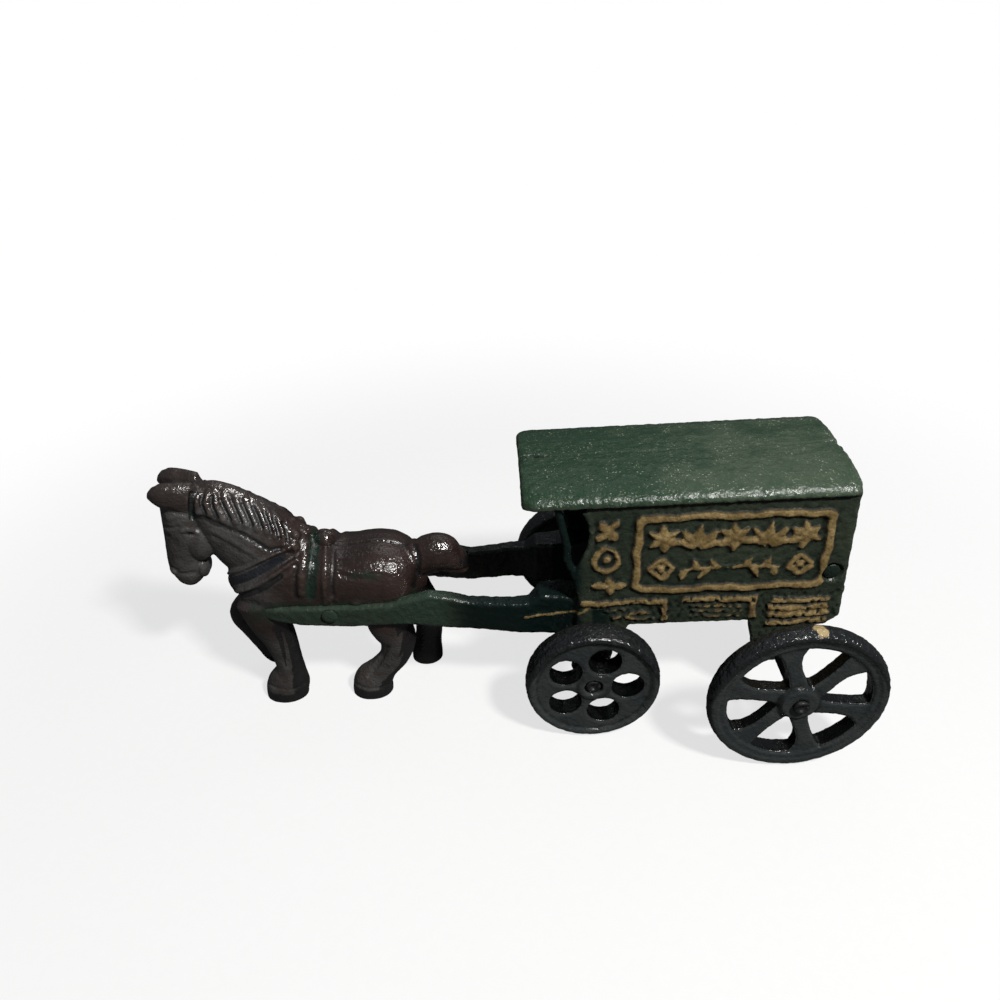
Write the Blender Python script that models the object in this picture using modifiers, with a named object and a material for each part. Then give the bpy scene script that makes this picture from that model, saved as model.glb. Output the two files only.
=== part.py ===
"""Cast iron toy: a horse between the shafts of a closed, arch-roofed carriage.

The carriage and the horse are each two half castings that meet on one upright plane. Two rivets hold
the halves together, and four cast wheels turn on two loose axles with peened ends.
+X points to the rear of the carriage, -Y is the left side, and the ground is z = 0. The pieces are made
round the joint plane as y = 0, and moved at the end so that the origin is in the middle of the box.
"""
import math

import bmesh
import bpy
from mathutils import Matrix, Vector

MM = 0.001

# Running gear
FRONT_AXLE_X = 22.2 * MM
WHEELBASE = 53.5 * MM
AXLE_RADIUS = 1.6 * MM
RUNNING_GAP = 0.3 * MM
WEB_RECESS = 0.5 * MM
TREAD_CROWN = 0.5 * MM

FRONT_WHEEL_RADIUS = 19.4 * MM
FRONT_WHEEL_WIDTH = 7.8 * MM
FRONT_RIM_DEPTH = 2.6 * MM
FRONT_HOLE_COUNT = 5
FRONT_HOLE_RADIUS = 4.7 * MM
FRONT_HOLE_CIRCLE = 9.8 * MM
FRONT_SINK_DEPTH = 2.2 * MM

REAR_WHEEL_RADIUS = 24.5 * MM
REAR_WHEEL_WIDTH = 5.6 * MM
REAR_RIM_DEPTH = 5.0 * MM
REAR_HUB_RADIUS = 5.3 * MM
REAR_HUB_PROUD = 0.3 * MM
SPOKE_COUNT = 6
SPOKE_HALF_WIDTH = 1.9 * MM
SPOKE_HUB_FLARE = 0.7 * MM
SPOKE_RIM_FLARE = 2.2 * MM
SPOKE_PHASE = math.radians(-22)
SPOKE_SWEEP = math.radians(5)
SPOKE_BOW = math.radians(4)

PEENED_RADIUS = 2.3 * MM
PEENED_LENGTH = 1.1 * MM
PEENED_DIMPLE_RADIUS = 1.2 * MM
PEENED_DIMPLE_DEPTH = 0.6 * MM

# Carriage body, heights above the ground and lengths from the front axle
JOINT_GAP = 0.3 * MM
WALL_THICKNESS = 2.6 * MM
BODY_HALF_WIDTH = 19.6 * MM
BODY_REAR = 69.0 * MM
REAR_LEAN = 1.6 * MM
SILL_Z = 34.0 * MM
EAVE_Z = 75.0 * MM
EAVE_DEPTH = 2.4 * MM
ROOF_CROWN_Z = EAVE_Z + 5.0 * MM
ROOF_OVERHANG = 1.2 * MM
ROOF_HALF_WIDTH = BODY_HALF_WIDTH + ROOF_OVERHANG
ROOF_THICKNESS = 2.8 * MM
ROOF_SEAM_DIP = 0.9 * MM
ROOF_SHOULDER = 8.8 * MM
ROOF_SHOULDER_DROP = 0.5 * MM
ROOF_FRONT = 19.2 * MM
ROOF_REAR = BODY_REAR
ROOF_RISE = 1.2 * MM
POST_FRONT = 11.2 * MM
POST_WIDTH = 2.2 * MM
WAIST_FRONT = 8.3 * MM
WAIST_Z = 58.0 * MM
FOOT_FRONT = 4.2 * MM
WINDOW_LENGTH = 8.6 * MM
WINDOW_BOTTOM_Z = 53.0 * MM
FRONT_LUG_RADIUS = 5.6 * MM
REAR_LUG_RADIUS = 6.6 * MM
EDGE_ROUND = 0.5 * MM

# Raised mouldings of the side wall
RELIEF = 0.8 * MM
FRAME_BAND = 1.9 * MM
FRAME_LEFT = 10.6 * MM
FRAME_RIGHT = BODY_REAR - 5.4 * MM
FRAME_BOTTOM_Z = 46.0 * MM
FRAME_TOP_Z = EAVE_Z - 3.2 * MM
FRAME_CORNER = 3.6 * MM
SILL_BAND = 1.7 * MM
SILL_BAND_Z = SILL_Z + 8.0 * MM
SILL_BANDS = ((-3.0 * MM, 21.0 * MM, 2.0 * MM), (25.0 * MM, 46.0 * MM, 1.2 * MM))
LOUVRE_COUNT = 4
LOUVRE_LEFT = 49.5 * MM
LOUVRE_RIGHT = BODY_REAR - 3.0 * MM
LOUVRE_BOTTOM_Z = SILL_Z - 1.2 * MM
LOUVRE_TOP_Z = FRAME_BOTTOM_Z - 2.6 * MM

# Both axles have one length and slide in their lugs: the front one stands to the right, with its left
# wheel near the side wall, and the rear one to the left, with its right wheel near it
WHEEL_REACH = 15.4 * MM
WHEEL_FACE_Y = BODY_HALF_WIDTH + WHEEL_REACH
FRONT_SIDE_GAP = 1.4 * MM
REAR_SIDE_GAP = 1.0 * MM
FRONT_AXLE_SHIFT = WHEEL_FACE_Y - FRONT_WHEEL_WIDTH - BODY_HALF_WIDTH - RELIEF - FRONT_SIDE_GAP
REAR_AXLE_SHIFT = REAR_SIDE_GAP - (WHEEL_FACE_Y - REAR_WHEEL_WIDTH - BODY_HALF_WIDTH - RELIEF)
LEFT_END = WHEEL_FACE_Y - REAR_AXLE_SHIFT + REAR_HUB_PROUD + RUNNING_GAP + PEENED_LENGTH
RIGHT_END = WHEEL_FACE_Y + FRONT_AXLE_SHIFT
JOINT_PLANE_Y = (LEFT_END - RIGHT_END) / 2

# Shafts: stations are x from the front axle, inner |y|, outer |y|, bottom z and top z, in millimetres.
# The first ones grow out of the side wall, the last ones lie in seats along the horse's flanks.
WALL_Y = BODY_HALF_WIDTH / MM
SHAFT_STATIONS = (
    (3.0, WALL_Y - 7.6, WALL_Y - 0.6, 31.0, 42.0),
    (-4.0, WALL_Y - 11.0, WALL_Y - 1.6, 28.0, 43.0),
    (-9.0, WALL_Y - 11.6, WALL_Y - 3.0, 27.4, 43.0),
    (-14.2, WALL_Y - 11.2, WALL_Y - 3.6, 27.4, 43.0),
    (-17.2, WALL_Y - 9.0, WALL_Y - 3.6, 27.5, 40.3),
    (-22.0, WALL_Y - 8.4, WALL_Y - 3.8, 27.8, 40.2),
    (-27.0, 10.6, 15.0, 28.0, 40.0),
    (-34.5, 9.7, 14.1, 28.4, 40.0),
    (-40.0, 9.8, 14.0, 29.0, 41.8),
    (-46.0, 10.0, 14.0, 29.8, 43.0),
    (-52.0, 9.8, 13.6, 30.6, 41.2),
    (-58.0, 9.6, 13.3, 30.4, 39.4),
    (-72.0, 9.4, 13.0, 30.4, 39.0),
    (-84.0, 9.2, 12.8, 31.3, 38.9),
    (-91.0, 9.0, 12.2, 32.6, 38.7),
    (-96.0, 8.6, 10.8, 35.0, 38.0),
)
SHAFT_INNER_RISE = 2.2 * MM
SHAFT_EDGE = 0.8 * MM
SHAFT_BEVEL = 2.4 * MM
SEAT_GAP = 0.3 * MM

# Rivets
RIVET_RADIUS = 1.5 * MM
RIVET_HEAD_RADIUS = 2.4 * MM
RIVET_HEAD_LENGTH = 0.7 * MM
HORSE_RIVET_X = 75.0 * MM
HORSE_RIVET_Z = 36.4 * MM
REAR_RIVET_X = BODY_REAR - 3.4 * MM
REAR_RIVET_Z = 50.5 * MM
REAR_BOSS_RADIUS = 3.3 * MM
REAR_DIMPLE_DEPTH = 0.9 * MM

# Horse: each limb is a row of stations (x from the front axle, y, z, radius in profile, radius in y)
HORSE_GRAIN = 0.75 * MM
HORSE_TRIANGLES = 1670
TRUNK = (
    (-103.0, 0, 41.0, 4.8, 5.0),
    (-100.6, 0, 41.8, 9.2, 8.6),
    (-94.0, 0, 43.0, 12.0, 10.8),
    (-85.0, 0, 43.4, 12.2, 11.6),
    (-76.0, 0, 42.9, 10.8, 11.8),
    (-70.0, 0, 42.6, 10.0, 12.0),
    (-61.0, 0, 42.8, 10.8, 12.0),
    (-55.6, 0, 42.2, 10.0, 11.0),
    (-51.6, 0, 41.2, 7.6, 8.2),
    (-49.2, 0, 40.8, 5.0, 5.6),
)
TRUNK_SQUARENESS = 2.6
NECK = (
    (-86.0, 0, 46.5, 11.5, 9.5),
    (-91.6, 0, 51.6, 12.6, 9.0),
    (-96.6, 0, 56.4, 12.6, 7.8),
    (-101.2, 0, 61.8, 10.9, 6.6),
    (-105.6, 0, 67.0, 7.8, 5.6),
    (-109.4, 0, 70.2, 5.4, 5.0),
)
HEAD = (
    (-110.6, 0, 71.2, 4.6, 4.6),
    (-113.2, 0, 68.6, 6.4, 5.6),
    (-114.3, 0, 63.4, 6.2, 6.0),
    (-115.2, 0, 57.8, 6.0, 5.4),
    (-116.2, 0, 52.4, 5.8, 4.7),
    (-116.7, 0, 48.0, 5.7, 4.6),
    (-117.0, 0, 45.0, 4.9, 4.3),
    (-117.3, 0, 42.5, 3.5, 3.5),
)
TAIL = (
    (-54.0, 0, 44.6, 6.4, 6.4),
    (-48.4, 0, 46.8, 6.0, 5.5),
    (-43.2, 0, 48.0, 6.3, 5.3),
    (-40.2, 0, 46.4, 5.1, 4.8),
    (-37.8, 0, 44.2, 3.9, 3.9),
    (-36.2, 0, 42.2, 2.2, 2.5),
)
CREST = (
    (-109.5, 0, 73.4, 1.8, 1.8),
    (-103.5, 0, 72.9, 2.5, 2.1),
    (-97.5, 0, 69.9, 2.7, 2.3),
    (-91.5, 0, 65.2, 2.7, 2.4),
    (-86.0, 0, 60.2, 2.7, 2.4),
    (-81.0, 0, 56.2, 2.4, 2.2),
)
EAR = (
    (-109.8, 2.8, 72.4, 3.8, 2.6),
    (-113.8, 3.6, 73.0, 4.1, 2.7),
    (-117.2, 4.2, 73.4, 3.7, 2.4),
    (-119.2, 4.4, 73.9, 2.3, 1.6),
)
NEAR_FORELEG = (
    (-96.0, 6.4, 38.0, 7.6, 5.0),
    (-94.6, 6.9, 30.5, 6.4, 4.6),
    (-92.8, 6.9, 23.5, 5.2, 4.1),
    (-91.8, 6.7, 16.0, 4.4, 3.7),
    (-91.6, 6.5, 11.0, 4.5, 3.8),
    (-92.6, 6.3, 6.4, 6.2, 4.6),
    (-93.9, 6.3, 2.4, 6.6, 4.9),
    (-94.2, 6.3, -1.5, 6.5, 4.9),
)
NEAR_HIND_LEG = (
    (-57.5, 5.6, 38.0, 8.4, 5.8),
    (-59.2, 7.0, 29.0, 6.9, 4.8),
    (-57.2, 7.2, 21.8, 5.7, 4.2),
    (-58.8, 6.9, 14.8, 4.6, 3.7),
    (-62.8, 6.5, 9.4, 4.5, 3.8),
    (-66.0, 6.3, 5.0, 6.1, 4.6),
    (-66.9, 6.3, 1.6, 6.3, 4.9),
    (-67.0, 6.3, -1.5, 6.3, 4.9),
)
FAR_FORELEG = (
    (-97.6, 6.2, 37.0, 6.2, 5.0),
    (-102.2, 7.0, 29.2, 4.3, 4.1),
    (-107.9, 7.8, 22.0, 3.8, 3.8),
    (-105.6, 7.8, 15.6, 3.6, 3.4),
    (-102.6, 7.8, 9.4, 3.6, 3.4),
    (-99.8, 7.8, 5.2, 4.2, 3.9),
    (-96.8, 7.8, 4.6, 3.6, 3.6),
)
FAR_HIND_LEG = (
    (-57.5, 5.6, 38.0, 8.4, 5.8),
    (-53.0, 7.4, 29.0, 6.2, 4.7),
    (-48.9, 8.2, 20.0, 4.9, 4.1),
    (-49.0, 8.2, 12.5, 4.3, 3.7),
    (-49.7, 8.2, 7.6, 4.4, 3.9),
    (-50.2, 8.2, 3.8, 4.9, 4.4),
    (-50.4, 8.2, 1.0, 5.0, 4.6),
    (-50.4, 8.2, -1.5, 5.0, 4.6),
)
STRAP_RADIUS = 1.5 * MM
STRAP_PROUD = 0.1 * MM
GIRTH_STATION = (-77.5, 43.1, 11.6, 11.8, 0.0)
COLLAR_STATION = (-93.0, 48.2, 15.2, 10.2, 42.0)
# Rounded swellings: x from the front axle, y, z and the three radii
KNOB = (-76.0, 0.0, 55.2, 2.5, 2.5, 2.5)
CHEEK = (-111.0, 2.6, 57.2, 4.6, 3.0, 6.4)

LEFT = -1
RIGHT = 1

parts = bpy.data.collections.new("toy_horse_carriage")
guides = bpy.data.collections.new("guides")


def clear_scene():
    for thing in list(bpy.data.objects):
        bpy.data.objects.remove(thing, do_unlink=True)
    bpy.context.scene.collection.children.link(parts)
    bpy.context.scene.collection.children.link(guides)


def paint(name, colour, roughness, metallic=0.0):
    material = bpy.data.materials.new(name)
    material.use_nodes = True
    shader = material.node_tree.nodes["Principled BSDF"]
    shader.inputs["Base Color"].default_value = (*colour, 1.0)
    shader.inputs["Roughness"].default_value = roughness
    shader.inputs["Metallic"].default_value = metallic
    return material


def axle_frame(x, y, z):
    """World place of a point given in millimetres from the ground under the front axle."""
    return Vector((FRONT_AXLE_X + x * MM, y * MM, z * MM))


def add(name, mesh, collection):
    thing = bpy.data.objects.new(name, mesh)
    collection.objects.link(thing)
    return thing


def from_bmesh(name, shape):
    bmesh.ops.recalc_face_normals(shape, faces=shape.faces)
    mesh = bpy.data.meshes.new(name)
    shape.to_mesh(mesh)
    shape.free()
    return add(name, mesh, guides)


def bake(thing):
    """Replace an object by its evaluated, welded mesh, with slivers closed and its place in the mesh."""
    bpy.context.view_layer.update()
    evaluated = thing.evaluated_get(bpy.context.evaluated_depsgraph_get())
    mesh = bpy.data.meshes.new_from_object(evaluated)
    mesh.transform(thing.matrix_world)
    name = thing.name
    bpy.data.objects.remove(thing, do_unlink=True)
    shape = bmesh.new()
    shape.from_mesh(mesh)
    bpy.data.meshes.remove(mesh)
    bmesh.ops.remove_doubles(shape, verts=shape.verts, dist=0.0005 * MM)
    slivers = [edge for edge in shape.edges if len(edge.link_faces) == 1]
    bmesh.ops.holes_fill(shape, edges=slivers, sides=3)
    return from_bmesh(name, shape)


def combine(body, tools, operation):
    """Join tools to a body, or cut them out of it."""
    for tool in tools:
        step = body.modifiers.new("combine", "BOOLEAN")
        step.operation = operation
        step.solver = "EXACT"
        step.object = tool
    body = bake(body)
    for tool in tools:
        bpy.data.objects.remove(tool, do_unlink=True)
    return body


def plate(name, outlines, thickness, middle_y, soft=0.0):
    """A flat plate in the XZ plane with softened edges: an outer outline, then those of its holes."""
    curve = bpy.data.curves.new(name, "CURVE")
    curve.dimensions = "2D"
    curve.fill_mode = "BOTH"
    curve.extrude = thickness / 2 - soft
    curve.bevel_depth = soft
    curve.bevel_resolution = 0
    curve.offset = -soft
    for outline in outlines:
        spline = curve.splines.new("POLY")
        spline.points.add(len(outline) - 1)
        for point, (x, z) in zip(spline.points, outline):
            point.co = (x, z, 0.0, 1.0)
        spline.use_cyclic_u = True
    thing = add(name, curve, guides)
    thing.matrix_world = Matrix.Translation((0, middle_y, 0)) @ Matrix.Rotation(math.pi / 2, 4, "X")
    return bake(thing)


def turned(name, profile, centre, steps):
    """A solid of revolution about the Y line through centre, from (radius, y) points."""
    shape = bmesh.new()
    points = [shape.verts.new((radius, along, 0)) for radius, along in profile]
    for first, second in zip(points, points[1:] + points[:1]):
        if first.co.x > 0 or second.co.x > 0:
            shape.edges.new((first, second))
    mesh = bpy.data.meshes.new(name)
    shape.to_mesh(mesh)
    shape.free()
    thing = add(name, mesh, guides)
    thing.location = centre
    screw = thing.modifiers.new("turn", "SCREW")
    screw.axis = "Y"
    screw.steps = steps
    screw.render_steps = steps
    screw.use_merge_vertices = True
    screw.merge_threshold = 0.00001
    return bake(thing)


def arc(centre_x, centre_z, radius, start, end, count):
    """Points of an arc, with its angles in degrees."""
    angles = [math.radians(start + (end - start) * i / (count - 1)) for i in range(count)]
    return [(centre_x + radius * math.cos(a), centre_z + radius * math.sin(a)) for a in angles]


def circle(centre_x, centre_z, radius, count):
    return arc(centre_x, centre_z, radius, 0, 360 - 360 / count, count)


def rod(name, x, z, radius, half_length, count=20):
    return turned(name, [(radius, -half_length), (radius, half_length), (0, half_length),
                         (0, -half_length)], (x, 0, z), count)


def loft(name, rings):
    """A closed solid through rings of equally many points, with flat ends."""
    shape = bmesh.new()
    rows = [[shape.verts.new(point) for point in ring] for ring in rings]
    count = len(rows[0])
    for row, following in zip(rows, rows[1:]):
        for i in range(count):
            j = (i + 1) % count
            shape.faces.new((row[i], row[j], following[j], following[i]))
    shape.faces.new(list(reversed(rows[0])))
    shape.faces.new(rows[-1])
    return from_bmesh(name, shape)


def smooth_stations(stations, steps):
    """Stations with Catmull-Rom stations between them."""
    rows = [Vector(station) for station in stations]
    rows = [2 * rows[0] - rows[1]] + rows + [2 * rows[-1] - rows[-2]]
    result = []
    for before, start, end, after in zip(rows, rows[1:], rows[2:], rows[3:]):
        for i in range(steps):
            t = i / steps
            result.append(0.5 * (2 * start + (end - before) * t
                                 + (2 * before - 5 * start + 4 * end - after) * t * t
                                 + (3 * start - before - 3 * end + after) * t ** 3))
    result.append(rows[-2])
    return result


def oval(angle, squareness):
    """A point of a rounded section: an ellipse at 2, and squarer above it."""
    power = 2 / squareness
    across, up = math.cos(angle), math.sin(angle)
    return math.copysign(abs(across) ** power, across), math.copysign(abs(up) ** power, up)


def limb(name, stations, side=RIGHT, squareness=2.0, steps=4, count=20):
    """A rounded limb whose oval sections stand across its path in the profile plane."""
    smooth = smooth_stations([Vector(station) for station in stations], steps)
    centres = [axle_frame(s[0], side * s[1], s[2]) for s in smooth]
    rings = []
    for i, (station, centre) in enumerate(zip(smooth, centres)):
        along = centres[min(i + 1, len(centres) - 1)] - centres[max(i - 1, 0)]
        along.y = 0
        across = along.normalized().cross(Vector((0, 1, 0)))
        ring = []
        for k in range(count):
            u, v = oval(2 * math.pi * k / count, squareness)
            ring.append(centre + across * station[3] * MM * u + Vector((0, station[4] * MM * v, 0)))
        rings.append(ring)
    first, last = rings[0], rings[-1]
    rings.insert(0, dome(first, centres[0], centres[0] - centres[1]))
    rings.append(dome(last, centres[-1], centres[-1] - centres[-2]))
    return loft(name, rings)


def dome(ring, centre, outward):
    """A smaller ring beyond an end, which rounds the end of a limb."""
    reach = 0.45 * min((point - centre).length for point in ring)
    return [centre + (point - centre) * 0.6 + outward.normalized() * reach for point in ring]


def strap(name, station, squareness=2.0):
    """A raised strap round the trunk or the neck, leaning by an angle in degrees."""
    x, z, radius_z, radius_y, lean = station
    lean = math.radians(lean)
    centre = axle_frame(x, 0, z)
    up = Vector((math.sin(lean), 0, math.cos(lean)))
    forward = Vector((math.cos(lean), 0, -math.sin(lean)))
    rings = []
    count, sides = 40, 8
    shape = bmesh.new()
    for i in range(count):
        u, v = oval(2 * math.pi * i / count, squareness)
        spoke = up * (radius_z * MM + STRAP_PROUD) * u + Vector((0, (radius_y * MM + STRAP_PROUD) * v, 0))
        outward = spoke.normalized()
        rings.append([shape.verts.new(centre + spoke + outward * STRAP_RADIUS * 0.6 * math.cos(b)
                                      + forward * STRAP_RADIUS * math.sin(b))
                      for b in (2 * math.pi * k / sides for k in range(sides))])
    for row, following in zip(rings, rings[1:] + rings[:1]):
        for k in range(sides):
            m = (k + 1) % sides
            shape.faces.new((row[k], row[m], following[m], following[k]))
    return from_bmesh(name, shape)


def shaft(name, side, grow=0.0):
    """A shaft: a bar with a wide bevel along its outer bottom edge."""
    rings = []
    for x, inner, outer, bottom, top in SHAFT_STATIONS:
        inner = inner * MM - grow
        outer = outer * MM + grow
        bottom = bottom * MM - grow
        top = top * MM + grow
        edge = min(SHAFT_EDGE, (outer - inner) * 0.3, (top - bottom) * 0.2)
        bevel = min(SHAFT_BEVEL, (outer - inner) * 0.55, (top - bottom) * 0.3)
        rise = SHAFT_INNER_RISE
        section = ((inner + edge, bottom + rise - edge), (outer - bevel, bottom), (outer, bottom + bevel),
                   (outer, top - edge), (outer - edge, top), (inner + edge, top),
                   (inner, top - edge), (inner, bottom + rise))
        rings.append([(FRONT_AXLE_X + x * MM, side * y, z) for y, z in section])
    return loft(name, rings)


def shaft_face(x):
    """Outer |y| of a shaft at an x from the front axle."""
    rows = [(station[0] * MM, station[2] * MM) for station in SHAFT_STATIONS]
    for (start, before), (end, after) in zip(rows, rows[1:]):
        if end <= x <= start:
            return before + (after - before) * (start - x) / (start - end)
    return rows[-1][1]


def wall_outline():
    """The side wall's edge with its two axle lugs, from the front post's foot round to its top."""
    front = FRONT_AXLE_X
    rear = FRONT_AXLE_X + WHEELBASE
    back = FRONT_AXLE_X + BODY_REAR
    top = EAVE_Z + EAVE_DEPTH / 2
    post = front - POST_FRONT
    outline = [(front - FOOT_FRONT, SILL_Z)]
    outline += arc(front, FRONT_WHEEL_RADIUS, FRONT_LUG_RADIUS, 195, 345, 9)
    outline += [(front + FRONT_LUG_RADIUS + 1.5 * MM, FRONT_WHEEL_RADIUS + 7.0 * MM),
                (front + FRONT_LUG_RADIUS + 5.0 * MM, SILL_Z)]
    outline += [(rear - REAR_LUG_RADIUS - 2.2 * MM, SILL_Z)]
    outline += arc(rear, REAR_WHEEL_RADIUS, REAR_LUG_RADIUS, 185, 350, 10)
    outline += [(rear + REAR_LUG_RADIUS + 2.0 * MM, SILL_Z - 3.0 * MM),
                (back + REAR_LEAN - 3.5 * MM, SILL_Z - 2.4 * MM), (back + REAR_LEAN, SILL_Z + 0.6 * MM),
                (back, top)]
    outline += [(post, top), (front - WAIST_FRONT, WAIST_Z + 4.0 * MM), (front - WAIST_FRONT, WAIST_Z),
                (front - FOOT_FRONT - 1.4 * MM, WINDOW_BOTTOM_Z - 2.0 * MM),
                (front - FOOT_FRONT, SILL_BAND_Z + 3.0 * MM)]
    return outline


def window_outline():
    """The driver's opening: a D that leans along the front post, with a round side to the rear."""
    top_left = FRONT_AXLE_X - POST_FRONT + POST_WIDTH
    waist = FRONT_AXLE_X - WAIST_FRONT + POST_WIDTH
    rear = top_left + WINDOW_LENGTH
    height = EAVE_Z - WINDOW_BOTTOM_Z
    outline = [(top_left, EAVE_Z), (waist, WAIST_Z + 4.0 * MM), (waist, WAIST_Z),
               (waist + WINDOW_LENGTH * 0.2, WINDOW_BOTTOM_Z)]
    bulge = ((0.46, 0.05), (0.25, 0.16), (0.08, 0.32), (0.0, 0.52), (0.0, 0.7), (0.09, 0.87), (0.26, 1.0))
    return outline + [(rear - WINDOW_LENGTH * back, WINDOW_BOTTOM_Z + height * up) for back, up in bulge]


def roof_section():
    """The half roof across the body as (y, z), on the right side."""
    inner = JOINT_GAP / 2
    edge = ROOF_HALF_WIDTH
    rise = ROOF_CROWN_Z - ROOF_SHOULDER_DROP - EAVE_Z - EDGE_ROUND
    outer = [(inner, ROOF_CROWN_Z - ROOF_SEAM_DIP), (inner + 2 * ROOF_SEAM_DIP, ROOF_CROWN_Z - ROOF_SEAM_DIP / 5),
             (edge * 0.35, ROOF_CROWN_Z)]
    outer += [(edge - ROOF_SHOULDER + ROOF_SHOULDER * math.sin(a), EAVE_Z + EDGE_ROUND + rise * math.cos(a))
              for a in (math.radians(10 + 80 * i / 5) for i in range(6))]
    outer += [(edge - EDGE_ROUND, EAVE_Z)]
    ceiling = ROOF_CROWN_Z - ROOF_THICKNESS
    under = [(edge - WALL_THICKNESS - MM, EAVE_Z), (edge - WALL_THICKNESS - 4.0 * MM, ceiling - MM),
             (edge * 0.4, ceiling), (inner, ceiling)]
    return outer + under


def roof(side):
    """Half of the roof, which rises a little to the rear and has rounded front corners."""
    section = roof_section()
    start = FRONT_AXLE_X - ROOF_FRONT
    length = ROOF_FRONT + ROOF_REAR
    stations = ((0, 0.89, 0.5 * MM), (0.8 * MM, 0.95, 0.1 * MM), (3.0 * MM, 1.0, 0),
                (length - 3.0 * MM, 1.0, 0), (length - 0.8 * MM, 0.98, 0.1 * MM), (length, 0.94, 0.5 * MM))
    rings = []
    for x, narrowing, drop in stations:
        lift = ROOF_RISE * (x / length - 0.5)
        rings.append([(start + x, side * (JOINT_GAP / 2 + (y - JOINT_GAP / 2) * narrowing),
                       z + lift - (drop if z > EAVE_Z else 0)) for y, z in section])
    return loft("roof", rings)


def rear_wall(side):
    """Half of the rear wall, from the joint plane to the side wall."""
    back = FRONT_AXLE_X + BODY_REAR
    front = back - WALL_THICKNESS
    near = side * JOINT_GAP / 2
    far = side * (BODY_HALF_WIDTH - WALL_THICKNESS / 2)
    ceiling = ROOF_CROWN_Z - ROOF_THICKNESS / 2
    rings = [[(x + REAR_LEAN, y, SILL_Z), (x, y, ceiling)] for x in (front, back) for y in (near, far)]
    corners = [rings[0] + rings[1][::-1], rings[2] + rings[3][::-1]]
    return loft("rear_wall", corners)


def rounded_frame(left, right, bottom, top, radius, count=5):
    outline = arc(right - radius, top - radius, radius, 0, 90, count)
    outline += arc(left + radius, top - radius, radius, 90, 180, count)
    outline += arc(left + radius, bottom + radius, radius, 180, 270, count)
    outline += arc(right - radius, bottom + radius, radius, 270, 360, count)
    return outline


def mouldings(side):
    """The raised bands of a side wall, each a plate that is let into the wall."""
    depth = RELIEF * 2
    y = side * BODY_HALF_WIDTH
    x0 = FRONT_AXLE_X
    outer = rounded_frame(x0 + FRAME_LEFT, x0 + FRAME_RIGHT, FRAME_BOTTOM_Z, FRAME_TOP_Z, FRAME_CORNER)
    inner = rounded_frame(x0 + FRAME_LEFT + FRAME_BAND, x0 + FRAME_RIGHT - FRAME_BAND,
                          FRAME_BOTTOM_Z + FRAME_BAND, FRAME_TOP_Z - FRAME_BAND,
                          FRAME_CORNER - FRAME_BAND / 2)
    bands = [plate("frame", [outer, inner], depth, y)]
    band = SILL_BAND
    for start, end, foot_rise in SILL_BANDS:
        a, b, foot = x0 + start, x0 + end, SILL_Z + foot_rise
        bands.append(plate("sill", [[(a, SILL_BAND_Z), (a, SILL_BAND_Z + band), (b, SILL_BAND_Z + band),
                                     (b, foot), (b - band, foot), (b - band, SILL_BAND_Z)]], depth, y))
    pitch = (LOUVRE_TOP_Z - LOUVRE_BOTTOM_Z) / LOUVRE_COUNT
    for i in range(LOUVRE_COUNT):
        bottom = LOUVRE_BOTTOM_Z + i * pitch
        top = bottom + pitch * 0.6
        a, b = x0 + LOUVRE_LEFT, x0 + LOUVRE_RIGHT
        bands.append(plate("louvre", [[(a, bottom), (b, bottom), (b + 0.8 * MM, (bottom + top) / 2),
                                       (b, top), (a, top)]], depth, y))
    return bands


def body_half(name, side):
    wall_middle = side * (BODY_HALF_WIDTH - WALL_THICKNESS / 2)
    wall = plate("wall", [wall_outline(), window_outline()], WALL_THICKNESS, wall_middle, EDGE_ROUND)
    boss_z = REAR_RIVET_Z
    boss_x = FRONT_AXLE_X + REAR_RIVET_X
    inner = JOINT_GAP / 2
    reach = BODY_HALF_WIDTH - WALL_THICKNESS / 2
    boss = turned("boss", [(REAR_BOSS_RADIUS, side * inner), (REAR_BOSS_RADIUS, side * reach),
                           (0, side * reach), (0, side * inner)], (boss_x, 0, boss_z), 20)
    body = combine(wall, [roof(side), rear_wall(side), boss, shaft("bar", side)], "UNION")
    body = combine(body, mouldings(side), "UNION")
    bore = AXLE_RADIUS + RUNNING_GAP
    rivet_bore = RIVET_RADIUS + SEAT_GAP
    full = BODY_HALF_WIDTH * 1.5
    dimple_radius = RIVET_HEAD_RADIUS + 2 * SEAT_GAP
    dimple_floor = BODY_HALF_WIDTH - REAR_DIMPLE_DEPTH
    cuts = [rod("front_bore", FRONT_AXLE_X, FRONT_WHEEL_RADIUS, bore, full),
            rod("rear_bore", FRONT_AXLE_X + WHEELBASE, REAR_WHEEL_RADIUS, bore, full),
            rod("rivet_bore", boss_x, boss_z, rivet_bore, full, 16),
            rod("horse_rivet_bore", FRONT_AXLE_X - HORSE_RIVET_X, HORSE_RIVET_Z, rivet_bore, full, 16),
            turned("dimple", [(dimple_radius, side * dimple_floor), (dimple_radius, side * full),
                              (0, side * full), (0, side * dimple_floor)], (boss_x, 0, boss_z), 20)]
    return finish(combine(body, cuts, "DIFFERENCE"), name)


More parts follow.
